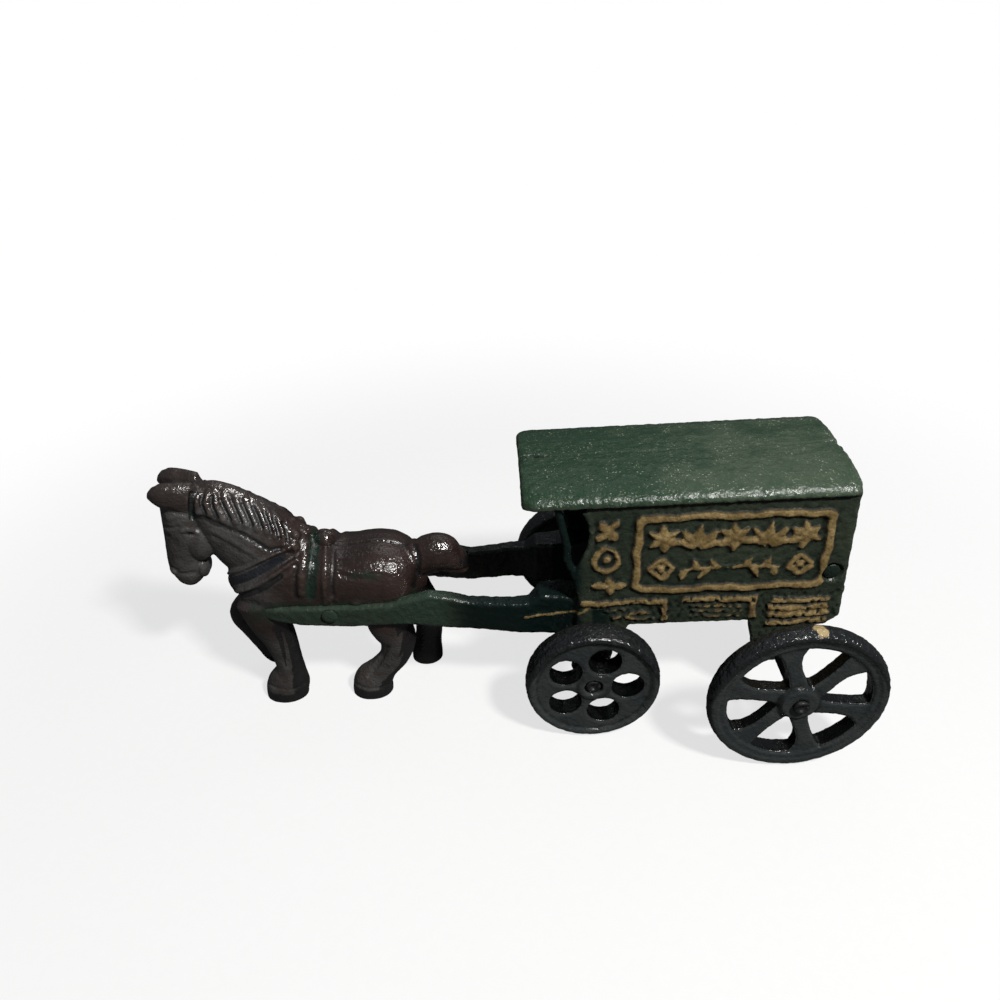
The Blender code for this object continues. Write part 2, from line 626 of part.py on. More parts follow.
def horse_solid():
    """The whole horse as one smooth solid, before it is split into its two castings."""
    pieces = [limb("trunk", TRUNK, squareness=TRUNK_SQUARENESS), limb("neck", NECK), limb("head", HEAD),
              limb("tail", TAIL), limb("crest", CREST), limb("ear", EAR, LEFT), limb("ear", EAR, RIGHT),
              limb("near_fore", NEAR_FORELEG, LEFT), limb("near_hind", NEAR_HIND_LEG, LEFT),
              limb("far_fore", FAR_FORELEG, RIGHT), limb("far_hind", FAR_HIND_LEG, RIGHT),
              strap("girth", GIRTH_STATION, TRUNK_SQUARENESS), strap("collar", COLLAR_STATION)]
    shape = bmesh.new()
    for piece in pieces:
        shape.from_mesh(piece.data)
        bpy.data.objects.remove(piece, do_unlink=True)
    for (x, y, z, long, wide, tall), side in ((KNOB, RIGHT), (CHEEK, LEFT), (CHEEK, RIGHT)):
        form = Matrix.Diagonal((long * MM, wide * MM, tall * MM, 1))
        bmesh.ops.create_uvsphere(shape, u_segments=16, v_segments=10, radius=1,
                                  matrix=Matrix.Translation(axle_frame(x, side * y, z)) @ form)
    mesh = bpy.data.meshes.new("horse")
    shape.to_mesh(mesh)
    shape.free()
    horse = add("horse", mesh, guides)
    remesh = horse.modifiers.new("fuse", "REMESH")
    remesh.mode = "VOXEL"
    remesh.voxel_size = HORSE_GRAIN
    smooth = horse.modifiers.new("soften", "SMOOTH")
    smooth.factor = 0.5
    smooth.iterations = 3
    return bake(horse)


def horse_half(name, side, horse):
    """One half casting: the horse on its side of the joint plane, cut flat under the hooves."""
    shape = bmesh.new()
    shape.from_mesh(horse.data)
    for place, normal in (((0, side * JOINT_GAP / 2, 0), (0, -side, 0)), ((0, 0, 0), (0, 0, -1))):
        cut = bmesh.ops.bisect_plane(shape, geom=shape.verts[:] + shape.edges[:] + shape.faces[:],
                                     dist=0.0001 * MM, plane_co=place, plane_no=normal, clear_outer=True)
        rim = [edge for edge in cut["geom_cut"] if isinstance(edge, bmesh.types.BMEdge)]
        bmesh.ops.holes_fill(shape, edges=rim)
    half = from_bmesh("half", shape)
    step = half.modifiers.new("thin", "DECIMATE")
    step.ratio = min(1.0, HORSE_TRIANGLES / (2 * len(half.data.polygons)))
    half = bake(half)
    bore = RIVET_RADIUS + SEAT_GAP
    cuts = [shaft("seat", side, SEAT_GAP),
            rod("bore", FRONT_AXLE_X - HORSE_RIVET_X, HORSE_RIVET_Z, bore, ROOF_HALF_WIDTH, 16)]
    return finish(combine(half, cuts, "DIFFERENCE"), name)


def rim_ring(radius, depth, width, face_y, side):
    """The rim of a wheel: a ring with a slightly crowned tread."""
    out = side * face_y
    back = side * (face_y - width)
    middle = (out + back) / 2
    inner = radius - depth
    soft = side * 0.7 * MM
    edge = radius - TREAD_CROWN
    return [(inner, out - soft), (inner + EDGE_ROUND, out), (edge - EDGE_ROUND, out), (edge, out - soft),
            (radius, middle), (edge, back + soft), (edge - EDGE_ROUND, back), (inner, back)]


def front_wheel(name, side):
    centre = (FRONT_AXLE_X, 0, FRONT_WHEEL_RADIUS)
    x, _, z = centre
    face = WHEEL_FACE_Y + side * FRONT_AXLE_SHIFT
    web_radius = FRONT_WHEEL_RADIUS - FRONT_RIM_DEPTH / 2
    holes = [circle(x + FRONT_HOLE_CIRCLE * math.cos(a), z + FRONT_HOLE_CIRCLE * math.sin(a),
                    FRONT_HOLE_RADIUS, 16)
             for a in (2 * math.pi * k / FRONT_HOLE_COUNT for k in range(FRONT_HOLE_COUNT))]
    outlines = [circle(x, z, web_radius, 24)] + holes
    web_width = FRONT_WHEEL_WIDTH - 2 * WEB_RECESS
    web = plate("web", outlines, web_width, side * (face - FRONT_WHEEL_WIDTH / 2), EDGE_ROUND)
    section = rim_ring(FRONT_WHEEL_RADIUS, FRONT_RIM_DEPTH, FRONT_WHEEL_WIDTH, face, side)
    rim = turned("rim", section, centre, 38)
    wheel = combine(rim, [web], "UNION")
    sink_floor = face - FRONT_SINK_DEPTH
    sink_radius = PEENED_RADIUS + RUNNING_GAP
    sink = turned("sink", [(sink_radius, side * sink_floor), (sink_radius, side * (face + MM)),
                           (0, side * (face + MM)), (0, side * sink_floor)], centre, 20)
    bore = rod("bore", x, z, AXLE_RADIUS + RUNNING_GAP, 2 * face, 16)
    return finish(combine(wheel, [bore, sink], "DIFFERENCE"), name)


def spoke_gaps(x, z, inner, outer):
    """The openings between curved spokes, which flare where they meet the hub and the rim."""
    rows = 6
    gaps = []
    pitch = 2 * math.pi / SPOKE_COUNT
    for k in range(SPOKE_COUNT):
        sides = ([], [])
        for i in range(rows):
            t = i / (rows - 1)
            radius = inner + (outer - inner) * t
            half = SPOKE_HALF_WIDTH + SPOKE_HUB_FLARE * (1 - t) ** 3 + SPOKE_RIM_FLARE * t ** 4
            lean = SPOKE_PHASE + SPOKE_SWEEP * t + SPOKE_BOW * math.sin(math.pi * t)
            start = k * pitch + lean + half / radius
            end = (k + 1) * pitch + lean - half / radius
            for edge, angle in zip(sides, (start, end)):
                edge.append((x + radius * math.cos(angle), z + radius * math.sin(angle)))
        last = [math.atan2(edge[-1][1] - z, edge[-1][0] - x) for edge in sides]
        turn = (last[1] - last[0]) % (2 * math.pi)
        rim = [(x + outer * math.cos(last[0] + turn * i / 5), z + outer * math.sin(last[0] + turn * i / 5))
               for i in range(1, 5)]
        gaps.append(sides[0] + rim + sides[1][::-1])
    return gaps


def rear_wheel(name, side):
    x, z = FRONT_AXLE_X + WHEELBASE, REAR_WHEEL_RADIUS
    centre = (x, 0, z)
    face = WHEEL_FACE_Y + side * REAR_AXLE_SHIFT
    rim_inner = REAR_WHEEL_RADIUS - REAR_RIM_DEPTH
    gaps = spoke_gaps(x, z, REAR_HUB_RADIUS + 0.7 * MM, rim_inner - 0.2 * MM)
    outlines = [circle(x, z, rim_inner + REAR_RIM_DEPTH / 2, 30)] + gaps
    web_width = REAR_WHEEL_WIDTH - 2 * WEB_RECESS
    web = plate("web", outlines, web_width, side * (face - REAR_WHEEL_WIDTH / 2), EDGE_ROUND)
    section = rim_ring(REAR_WHEEL_RADIUS, REAR_RIM_DEPTH, REAR_WHEEL_WIDTH, face, side)
    rim = turned("rim", section, centre, 42)
    out = face + REAR_HUB_PROUD
    back = face - REAR_WHEEL_WIDTH - REAR_HUB_PROUD
    hub = turned("hub", [(REAR_HUB_RADIUS, side * back), (REAR_HUB_RADIUS, side * (out - EDGE_ROUND)),
                         (REAR_HUB_RADIUS - EDGE_ROUND, side * out), (0, side * out), (0, side * back)],
                 centre, 20)
    wheel = combine(rim, [web, hub], "UNION")
    bore = rod("bore", x, z, AXLE_RADIUS + RUNNING_GAP, 2 * face, 16)
    return finish(combine(wheel, [bore], "DIFFERENCE"), name)


def axle(name, x, z, shoulder, shift, steps=16):
    """A rod whose peened ends, each with a dimple, hold the wheels on."""
    tip = shoulder + PEENED_LENGTH
    soft = PEENED_LENGTH * 0.4
    half = [(AXLE_RADIUS, shoulder), (PEENED_RADIUS, shoulder), (PEENED_RADIUS, shoulder + soft),
            (PEENED_RADIUS - soft, tip), (PEENED_DIMPLE_RADIUS, tip), (0, tip - PEENED_DIMPLE_DEPTH)]
    profile = half + [(radius, -along) for radius, along in reversed(half)]
    return finish(turned("axle", profile, (x, shift, z), steps), name)


def rivet(name, x, z, shoulder, steps=14):
    """A rivet across both halves, with a low head at each end."""
    tip = shoulder + RIVET_HEAD_LENGTH
    half = [(RIVET_RADIUS, shoulder), (RIVET_HEAD_RADIUS, shoulder),
            (RIVET_HEAD_RADIUS, shoulder + RIVET_HEAD_LENGTH * 0.4),
            (RIVET_HEAD_RADIUS * 0.6, tip - RIVET_HEAD_LENGTH * 0.1), (0, tip)]
    profile = half + [(radius, -along) for radius, along in reversed(half)]
    return finish(turned("rivet", profile, (x, 0, z), steps), name)


def finish(thing, name):
    thing.name = name
    thing.data.name = name
    thing.data.transform(Matrix.Translation((0, JOINT_PLANE_Y, 0)))
    guides.objects.unlink(thing)
    parts.objects.link(thing)
    thing.data.shade_smooth()
    thing.data.set_sharp_from_angle(angle=math.radians(40))
    return thing


def build():
    clear_scene()
    body_paint = paint("body_green_enamel", (0.022, 0.05, 0.035), 0.35)
    horse_paint = paint("horse_brown_enamel", (0.06, 0.022, 0.018), 0.3)
    wheel_paint = paint("wheel_black_enamel", (0.012, 0.013, 0.015), 0.35)
    steel = paint("dark_steel", (0.09, 0.09, 0.09), 0.45, 1.0)

    horse = horse_solid()
    pieces = [
        (body_half("body_half_left", LEFT), body_paint),
        (body_half("body_half_right", RIGHT), body_paint),
        (horse_half("horse_half_left", LEFT, horse), horse_paint),
        (horse_half("horse_half_right", RIGHT, horse), horse_paint),
        (front_wheel("front_wheel_left", LEFT), wheel_paint),
        (front_wheel("front_wheel_right", RIGHT), wheel_paint),
        (rear_wheel("rear_wheel_left", LEFT), wheel_paint),
        (rear_wheel("rear_wheel_right", RIGHT), wheel_paint),
    ]
    bpy.data.objects.remove(horse, do_unlink=True)

    front_shoulder = WHEEL_FACE_Y - FRONT_SINK_DEPTH + RUNNING_GAP
    rear_shoulder = WHEEL_FACE_Y + REAR_HUB_PROUD + RUNNING_GAP
    rivet_seat = BODY_HALF_WIDTH - REAR_DIMPLE_DEPTH + SEAT_GAP
    horse_rivet_seat = shaft_face(-HORSE_RIVET_X) + SEAT_GAP
    pieces += [
        (axle("front_axle", FRONT_AXLE_X, FRONT_WHEEL_RADIUS, front_shoulder, FRONT_AXLE_SHIFT), steel),
        (axle("rear_axle", FRONT_AXLE_X + WHEELBASE, REAR_WHEEL_RADIUS, rear_shoulder, REAR_AXLE_SHIFT), steel),
        (rivet("rear_rivet", FRONT_AXLE_X + REAR_RIVET_X, REAR_RIVET_Z, rivet_seat), steel),
        (rivet("horse_rivet", FRONT_AXLE_X - HORSE_RIVET_X, HORSE_RIVET_Z, horse_rivet_seat), steel),
    ]
    for piece, material in pieces:
        piece.data.materials.clear()
        piece.data.materials.append(material)


build()
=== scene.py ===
import math

import bmesh
import bpy
import numpy as np
from mathutils import Matrix, Vector


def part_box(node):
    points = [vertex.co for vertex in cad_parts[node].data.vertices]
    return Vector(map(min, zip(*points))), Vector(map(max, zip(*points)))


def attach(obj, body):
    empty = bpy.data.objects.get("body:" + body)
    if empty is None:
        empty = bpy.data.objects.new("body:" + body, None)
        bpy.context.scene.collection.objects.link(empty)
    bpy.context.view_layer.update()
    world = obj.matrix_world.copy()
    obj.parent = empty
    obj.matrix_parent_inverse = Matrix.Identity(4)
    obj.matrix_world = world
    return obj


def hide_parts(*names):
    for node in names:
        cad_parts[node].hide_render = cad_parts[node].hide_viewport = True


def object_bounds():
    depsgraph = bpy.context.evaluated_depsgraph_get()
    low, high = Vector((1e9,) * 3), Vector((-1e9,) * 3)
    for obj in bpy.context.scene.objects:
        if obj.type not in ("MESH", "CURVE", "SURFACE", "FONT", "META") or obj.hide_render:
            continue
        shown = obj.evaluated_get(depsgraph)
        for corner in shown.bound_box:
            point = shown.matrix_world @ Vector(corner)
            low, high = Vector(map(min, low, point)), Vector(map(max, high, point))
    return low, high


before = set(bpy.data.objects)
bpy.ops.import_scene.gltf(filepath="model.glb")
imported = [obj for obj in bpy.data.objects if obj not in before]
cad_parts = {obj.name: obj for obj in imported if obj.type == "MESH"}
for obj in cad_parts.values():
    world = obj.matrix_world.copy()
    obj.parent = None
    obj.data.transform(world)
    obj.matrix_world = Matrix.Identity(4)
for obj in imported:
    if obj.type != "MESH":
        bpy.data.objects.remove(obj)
cad_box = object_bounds()

MM = 0.001
LEFT, RIGHT = -1, 1
FRONT_AXLE_X = 22.2
REAR_AXLE_X = 75.7
FRONT_RADIUS = 19.4
REAR_RADIUS = 24.5
WALL_Y = 19.6
JOINT_Y = 2.15

# The photograph's camera: focal length and middle in pixels of a picture 1000 wide, place, and three axes
FOCAL = 850
CENTRE = 500
SENSOR = 36
CAMERA_PLACE = Vector((-0.00309, -0.19973, 0.19665))
YAW, PITCH, ROLL = math.radians(0.2), math.radians(33), math.radians(-2.1)
AHEAD = Vector((math.sin(YAW) * math.cos(PITCH), math.cos(YAW) * math.cos(PITCH), -math.sin(PITCH)))
LEVEL = Vector((math.cos(YAW), -math.sin(YAW), 0))
ACROSS = LEVEL * math.cos(ROLL) + LEVEL.cross(AHEAD) * math.sin(ROLL)
ABOVE = -LEVEL * math.sin(ROLL) + LEVEL.cross(AHEAD) * math.cos(ROLL)


def place(x, y, z):
    """A point from millimetres: x from the front axle, y from the joint plane and z from the floor."""
    return Vector(((FRONT_AXLE_X + x) * MM, (JOINT_Y + y) * MM, z * MM))


def turns(count):
    """Equal steps once round a circle, in radians."""
    return [2 * math.pi * k / count for k in range(count)]


def add(name, data):
    thing = bpy.data.objects.new(name, data)
    bpy.context.scene.collection.objects.link(thing)
    return thing


def from_bmesh(shape, name="solid"):
    bmesh.ops.recalc_face_normals(shape, faces=shape.faces)
    mesh = bpy.data.meshes.new(name)
    shape.to_mesh(mesh)
    shape.free()
    return add(name, mesh)


def loft(rings):
    """A closed solid through rings of equally many points, with flat ends."""
    shape = bmesh.new()
    rows = [[shape.verts.new(point) for point in ring] for ring in rings]
    count = len(rows[0])
    for row, following in zip(rows, rows[1:]):
        for i in range(count):
            j = (i + 1) % count
            shape.faces.new((row[i], row[j], following[j], following[i]))
    shape.faces.new(list(reversed(rows[0])))
    shape.faces.new(rows[-1])
    return from_bmesh(shape)


def slab(low, high):
    """A block between two corners, which welds the halves of a casting."""
    (x0, y0, z0), (x1, y1, z1) = low, high
    corners = ((y0, z0), (y1, z0), (y1, z1), (y0, z1))
    return loft([[place(x, y, z) for y, z in corners] for x in (x0, x1)])


def smooth_stations(stations, steps):
    """Stations with Catmull-Rom stations between them."""
    rows = [Vector(station) for station in stations]
    rows = [2 * rows[0] - rows[1]] + rows + [2 * rows[-1] - rows[-2]]
    result = []
    for before, start, end, after in zip(rows, rows[1:], rows[2:], rows[3:]):
        for i in range(steps):
            t = i / steps
            result.append(0.5 * (2 * start + (end - before) * t
                                 + (2 * before - 5 * start + 4 * end - after) * t * t
                                 + (3 * start - before - 3 * end + after) * t ** 3))
    result.append(rows[-2])
    return result


def smooth_line(points, steps=5):
    return [tuple(point)[:2] for point in smooth_stations([(*point, 0) for point in points], steps)]


def cap_ring(ring, centre, outward):
    """A smaller ring beyond an end, which rounds the end of a limb."""
    reach = 0.45 * min((point - centre).length for point in ring)
    return [centre + (point - centre) * 0.6 + outward.normalized() * reach for point in ring]


def oval(angle, squareness):
    """A point of a rounded section: an ellipse at 2, and squarer above it."""
    power = 2 / squareness
    across, up = math.cos(angle), math.sin(angle)
    return math.copysign(abs(across) ** power, across), math.copysign(abs(up) ** power, up)


def limb(stations, side=RIGHT, squareness=2, steps=6, count=28):
    """A rounded limb whose oval sections stand across its path in the profile plane."""
    smooth = smooth_stations(stations, steps)
    centres = [place(s[0], side * s[1], s[2]) for s in smooth]
    rings = []
    for i, (station, centre) in enumerate(zip(smooth, centres)):
        along = centres[min(i + 1, len(centres) - 1)] - centres[max(i - 1, 0)]
        along.y = 0
        across = along.normalized().cross(Vector((0, 1, 0)))
        ring = []
        for angle in turns(count):
            u, v = oval(angle, squareness)
            ring.append(centre + across * station[3] * MM * u + Vector((0, station[4] * MM * v, 0)))
        rings.append(ring)
    rings.insert(0, cap_ring(rings[0], centres[0], centres[0] - centres[1]))
    rings.append(cap_ring(rings[-1], centres[-1], centres[-1] - centres[-2]))
    return loft(rings)


def ball(x, y, z, rx, ry, rz):
    shape = bmesh.new()
    scale = Matrix.Diagonal((rx * MM, ry * MM, rz * MM, 1))
    bmesh.ops.create_uvsphere(shape, u_segments=20, v_segments=12, radius=1,
                              matrix=Matrix.Translation(place(x, y, z)) @ scale)
    return from_bmesh(shape)


def tube(points, radius, flat=1, count=10):
    """A rounded stroke through (x, y, z, width) points; flat scales its thickness across the body."""
    smooth = smooth_stations(points, 5)
    path = [place(*point[:3]) for point in smooth]
    rings = []
    for i, (centre, point) in enumerate(zip(path, smooth)):
        along = (path[min(i + 1, len(path) - 1)] - path[max(i - 1, 0)]).normalized()
        side = along.cross(Vector((0, 1, 0))).normalized()
        depth = side.cross(along)
        wide, deep = side * radius * point[3] * MM, depth * radius * flat * MM
        rings.append([centre + wide * math.cos(a) + deep * math.sin(a) for a in turns(count)])
    return loft(rings)


def copy_node(node):
    return add("solid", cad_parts[node].data.copy())


def bake(thing):
    """Apply the modifiers of an object."""
    bpy.context.view_layer.update()
    evaluated = thing.evaluated_get(bpy.context.evaluated_depsgraph_get())
    mesh = bpy.data.meshes.new_from_object(evaluated)
    thing.modifiers.clear()
    thing.data = mesh


def fuse(name, pieces, voxel, smoothing):
    """Weld pieces into one cast form by a voxel remesh, then soften it."""
    shape = bmesh.new()
    for piece in pieces:
        shape.from_mesh(piece.data)
        bpy.data.objects.remove(piece, do_unlink=True)
    mesh = bpy.data.meshes.new(name)
    shape.to_mesh(mesh)
    shape.free()
    thing = add(name, mesh)
    remesh = thing.modifiers.new("fuse", "REMESH")
    remesh.mode = "VOXEL"
    remesh.voxel_size = voxel * MM
    soften = thing.modifiers.new("soften", "SMOOTH")
    soften.factor = 0.5
    soften.iterations = smoothing
    bake(thing)
    return thing


def roughen(thing, size, strength, shift):
    """Uneven casting skin: the surface moves in and out by a soft noise."""
    texture = bpy.data.textures.new("skin", "CLOUDS")
    texture.noise_scale = size * MM
    texture.noise_depth = 2
    guide = add("skin_guide", None)
    guide.location = (shift, shift * 0.7, 0)
    step = thing.modifiers.new("skin", "DISPLACE")
    step.texture = texture
    step.texture_coords = "OBJECT"
    step.texture_coords_object = guide
    step.mid_level = 0.55
    step.strength = strength * MM
    bake(thing)
    bpy.data.objects.remove(guide, do_unlink=True)
    thing.data.shade_smooth()


def hold(thing):
    """Keep the points of a piece inside the outer box of the whole toy."""
    s = Sculpt(thing)
    s.co = np.clip(s.co, np.array(cad_box[0]), np.array(cad_box[1]))
    s.done()


def bump(distance, radius):
    """A rounded weight that is 1 on the line and 0 at the radius."""
    return np.clip(1 - (distance / radius) ** 2, 0, 1) ** 2


def band(distance, half_width, edge):
    """A flat weight that is 1 inside the half width and falls to 0 over the edge."""
    return np.clip((half_width + edge - distance) / edge, 0, 1)


def rise(value, low, high):
    """0 below low, 1 above high and smooth between; it falls where high is below low."""
    t = np.clip((value - low) / (high - low), 0, 1)
    return t * t * (3 - 2 * t)


def most(*weights):
    """The greatest of several weights at each point."""
    return np.maximum.reduce(weights)


def to_line(px, pz, points):
    """Distance of points from a broken line in a plane."""
    best = np.full(len(px), 1e9)
    for (ax, az), (bx, bz) in zip(points, points[1:]):
        dx, dz = bx - ax, bz - az
        t = np.clip(((px - ax) * dx + (pz - az) * dz) / (dx * dx + dz * dz), 0, 1)
        best = np.minimum(best, np.hypot(px - ax - t * dx, pz - az - t * dz))
    return best


class Sculpt:
    """Moves the points of a mesh along their normals, and paints masks on them.

    Lines are drawn in the side view in millimetres, or on the picture in pixels. A line on the picture
    marks the near side and, mirrored, the far side.
    """

    def __init__(self, thing):
        self.thing = thing
        self.count = len(thing.data.vertices)
        self.co = self.fetch("co")
        self.normal = self.fetch("normal")
        self.nx, self.ny, self.nz = self.normal.T
        self.x = self.co[:, 0] / MM - FRONT_AXLE_X
        self.y = self.co[:, 1] / MM - JOINT_Y
        self.z = self.co[:, 2] / MM
        self.out = np.abs(self.y)
        self.side = np.where(self.y > 0, 1, -1)
        mirror = np.stack([np.ones(self.count), -self.side, np.ones(self.count)], 1)
        near_side = np.stack([self.co[:, 0], (JOINT_Y - self.out) * MM, self.co[:, 2]], 1)
        ray = near_side - np.array(CAMERA_PLACE)
        depth = ray @ np.array(AHEAD)
        self.u = CENTRE + FOCAL * (ray @ np.array(ACROSS)) / depth
        self.v = CENTRE - FOCAL * (ray @ np.array(ABOVE)) / depth
        self.pixels_per_mm = FOCAL * MM / depth
        toward = -(ray * self.normal * mirror).sum(1) / np.linalg.norm(ray, axis=1)
        self.seen = rise(toward, 0.02, 0.25)

    def fetch(self, name):
        values = np.empty(self.count * 3)
        self.thing.data.vertices.foreach_get(name, values)
        return values.reshape(-1, 3)

    def along(self, points):
        return to_line(self.x, self.z, points)

    def drawn(self, points):
        """Distance in millimetres from a smooth line drawn on the picture."""
        return to_line(self.u, self.v, smooth_line(points)) / self.pixels_per_mm

    def spot(self, u, v, wide, high):
        """A soft oval mark on the picture."""
        return bump(np.hypot((self.u - u) / wide, (self.v - v) / high), 1) * self.seen

    def push(self, weight, amount):
        self.co += self.normal * (weight * amount * MM)[:, None]

    def line(self, points, radius):
        """A rounded line on the picture."""
        return bump(self.drawn(points), radius) * self.seen

    def stripe(self, points, half_width, edge):
        """A flat stripe on the picture."""
        return band(self.drawn(points), half_width, edge) * self.seen

    def strokes(self, rows, where=1):
        """Raise rounded lines on the picture, or cut them where the height is below 0."""
        for height, radius, points in rows:
            self.push(self.line(points, radius) * where, height)

    def relief(self, rounds):
        """Height over the smoothed surface in millimetres: above 0 on edges, below 0 in hollows."""
        ends = np.empty(len(self.thing.data.edges) * 2, dtype=np.int64)
        self.thing.data.edges.foreach_get("vertices", ends)
        a, b = ends[0::2], ends[1::2]
        count = np.bincount(a, minlength=self.count) + np.bincount(b, minlength=self.count)
        soft = self.co.copy()
        for _ in range(rounds):
            total = np.stack([np.bincount(a, soft[b, i], self.count) + np.bincount(b, soft[a, i], self.count)
                              for i in range(3)], 1)
            soft = 0.5 * soft + 0.5 * total / np.maximum(count, 1)[:, None]
        return ((self.co - soft) * self.normal).sum(1) / MM

    def paint(self, name, values):
        data = self.thing.data
        layer = data.attributes.get(name) or data.attributes.new(name, "FLOAT", "POINT")
        layer.data.foreach_set("value", np.clip(values, 0, 1).astype(np.float32))

    def paint_wear(self, rounds, hollow=0.09):
        height = self.relief(rounds)
        self.paint("edge", rise(height, 0.04, 0.2))
        self.paint("hollow", rise(-height, hollow * 0.4, hollow * 2))

    def done(self):
        self.thing.data.vertices.foreach_set("co", self.co.ravel())
        self.thing.data.update()


# Materials: each is built from noise in the object's own space, with wear and dirt, and with painted shade
# and painted glints where their masks fall
def material(name):
    made = bpy.data.materials.new(name)
    made.use_nodes = True
    return made, Graph(made.node_tree)


class Graph:
    """Short forms for building a node tree."""

    def __init__(self, tree):
        tree.nodes.clear()
        self.tree = tree
        self.position = self.node("TexCoord").outputs["Object"]

    def node(self, kind, **settings):
        made = self.tree.nodes.new("ShaderNode" + kind)
        for key, value in settings.items():
            setattr(made, key, value)
        return made

    def wire(self, value, socket):
        if isinstance(value, (int, float)):
            socket.default_value = value
        elif isinstance(value, tuple):
            socket.default_value = (*value, 1) if len(value) == 3 else value
        else:
            self.tree.links.new(value, socket)

    def fill(self, made, inputs):
        for name, value in inputs.items():
            self.wire(value, made.inputs[name])
        return made

    def noise(self, per_mm, detail=4, roughness=0.6, distortion=0, stretch=None):
        coords = self.position
        if stretch:
            shrink = self.fill(self.node("Mapping"), {"Vector": coords})
            shrink.inputs["Scale"].default_value = stretch
            coords = shrink.outputs["Vector"]
        made = self.fill(self.node("TexNoise"), {
            "Vector": coords, "Scale": per_mm / MM, "Detail": detail, "Roughness": roughness,
            "Distortion": distortion})
        return made.outputs["Fac"]

    def ramp(self, value, low, high, out_low=0, out_high=1):
        made = self.fill(self.node("MapRange", interpolation_type="SMOOTHSTEP"), {
            "Value": value, "From Min": low, "From Max": high, "To Min": out_low, "To Max": out_high})
        return made.outputs["Result"]

    def math(self, operation, a, b=0, clamp=False):
        made = self.node("Math", operation=operation, use_clamp=clamp)
        self.wire(a, made.inputs[0])
        self.wire(b, made.inputs[1])
        return made.outputs[0]

    def times(self, a, b):
        return self.math("MULTIPLY", a, b, True)

    def plus(self, value, *parts):
        """The value and each part, which is a number or a pair of a value and its weight."""
        for part in parts:
            if isinstance(part, tuple):
                part = self.math("MULTIPLY", *part)
            value = self.math("ADD", value, part)
        return value

    def mix(self, factor, a, b):
        made = self.node("Mix", data_type="RGBA")
        self.wire(factor, made.inputs["Factor"])
        self.wire(a, made.inputs[6])
        self.wire(b, made.inputs[7])
        return made.outputs[2]

    def coats(self, colour, *layers):
        """Lay coats over a colour, each a pair of how much of it shows and its own colour."""
        for share, coat in layers:
            colour = self.mix(share, colour, coat)
        return colour

    def mask(self, name):
        return self.node("Attribute", attribute_name=name).outputs["Fac"]

    def ragged(self, name, per_mm, depth):
        """A painted mask whose edge is broken up by noise."""
        noise = self.plus(self.noise(per_mm, 6, 0.7), -0.5)
        return self.ramp(self.plus(self.mask(name), (noise, depth)), 0.35, 0.65)

    def relief(self, height, strength, distance, normal=None):
        inputs = {"Height": height, "Strength": strength, "Distance": distance * MM}
        if normal:
            inputs["Normal"] = normal
        return self.fill(self.node("Bump"), inputs).outputs["Normal"]

    def surface(self, colour, roughness, normal, metallic=0, specular=0.5):
        shader = self.fill(self.node("BsdfPrincipled"), {
            "Base Color": colour, "Roughness": roughness, "Normal": normal, "Metallic": metallic,
            "Specular IOR Level": specular})
        self.fill(self.node("OutputMaterial"), {"Surface": shader.outputs["BSDF"]})

    def lit(self, kind, colour, strength=1):
        return self.fill(self.node(kind), {"Color": colour, "Strength": strength}).outputs[0]

    def end(self, kind, share, a, b):
        """End the tree with a mix of two shaders."""
        blend = self.node("MixShader")
        for value, socket in zip((share, a, b), blend.inputs):
            self.wire(value, socket)
        self.fill(self.node(kind), {"Surface": blend.outputs[0]})


# Colours of the paints, with their dirt and wear, and the colours of painted shade and painted glints
ROOF_DEEP, ROOF_PALE, ROOF_RUBBED = (0.016, 0.04, 0.021), (0.049, 0.073, 0.047), (0.08, 0.108, 0.074)
ROOF_SCUFF, ROOF_SPECK_AND_GLINT, ROOF_STAIN = (0.2, 0.21, 0.12), (0.36, 0.4, 0.3), (0.034, 0.046, 0.028)
EAVE_WORN = (0.1, 0.12, 0.084)
SHAFT_SPRAY, SHAFT_FLECK, SHAFT_INNER = (0.027, 0.05, 0.037), (0.09, 0.13, 0.095), (0.022, 0.026, 0.022)
PAINTED_SHADE_GREEN, OUTLINE_BLACK, SCRAP_RUST = (0.0016, 0.0078, 0.007), (0.01, 0.009, 0.006), (0.1, 0.062, 0.03)
TAN_DEEP, TAN_PALE = (0.15, 0.1, 0.034), (0.3, 0.212, 0.088)
TAN_DIRT, TAN_RED = (0.085, 0.06, 0.026), (0.13, 0.045, 0.026)
HORSE_GREY, HORSE_BLACK_AND_SHADE = (0.07, 0.0665, 0.064), (0.0055, 0.0055, 0.006)
COLLAR_BLUE, HARNESS_GREEN = (0.0085, 0.011, 0.0155), (0.0085, 0.026, 0.0165)
TREAD_BLACK, TREAD_RUBBED = (0.0045, 0.0055, 0.0065), (0.05, 0.053, 0.055)
HOLE_PAINTED_SHADE, WHEEL_TAN = (0.002, 0.0022, 0.0024), (0.42, 0.32, 0.17)
STEEL_DEEP, STEEL_PALE, STEEL_RUST = (0.006, 0.007, 0.008), (0.022, 0.022, 0.022), (0.035, 0.022, 0.014)
PAPER_DEEP, PAPER_PALE, PAPER_UNSEEN = (0.8, 0.8, 0.8), (0.83, 0.83, 0.825), (0.06, 0.06, 0.06)
WHITE, ROOM = (1, 1, 1), (0.86, 0.93, 1)


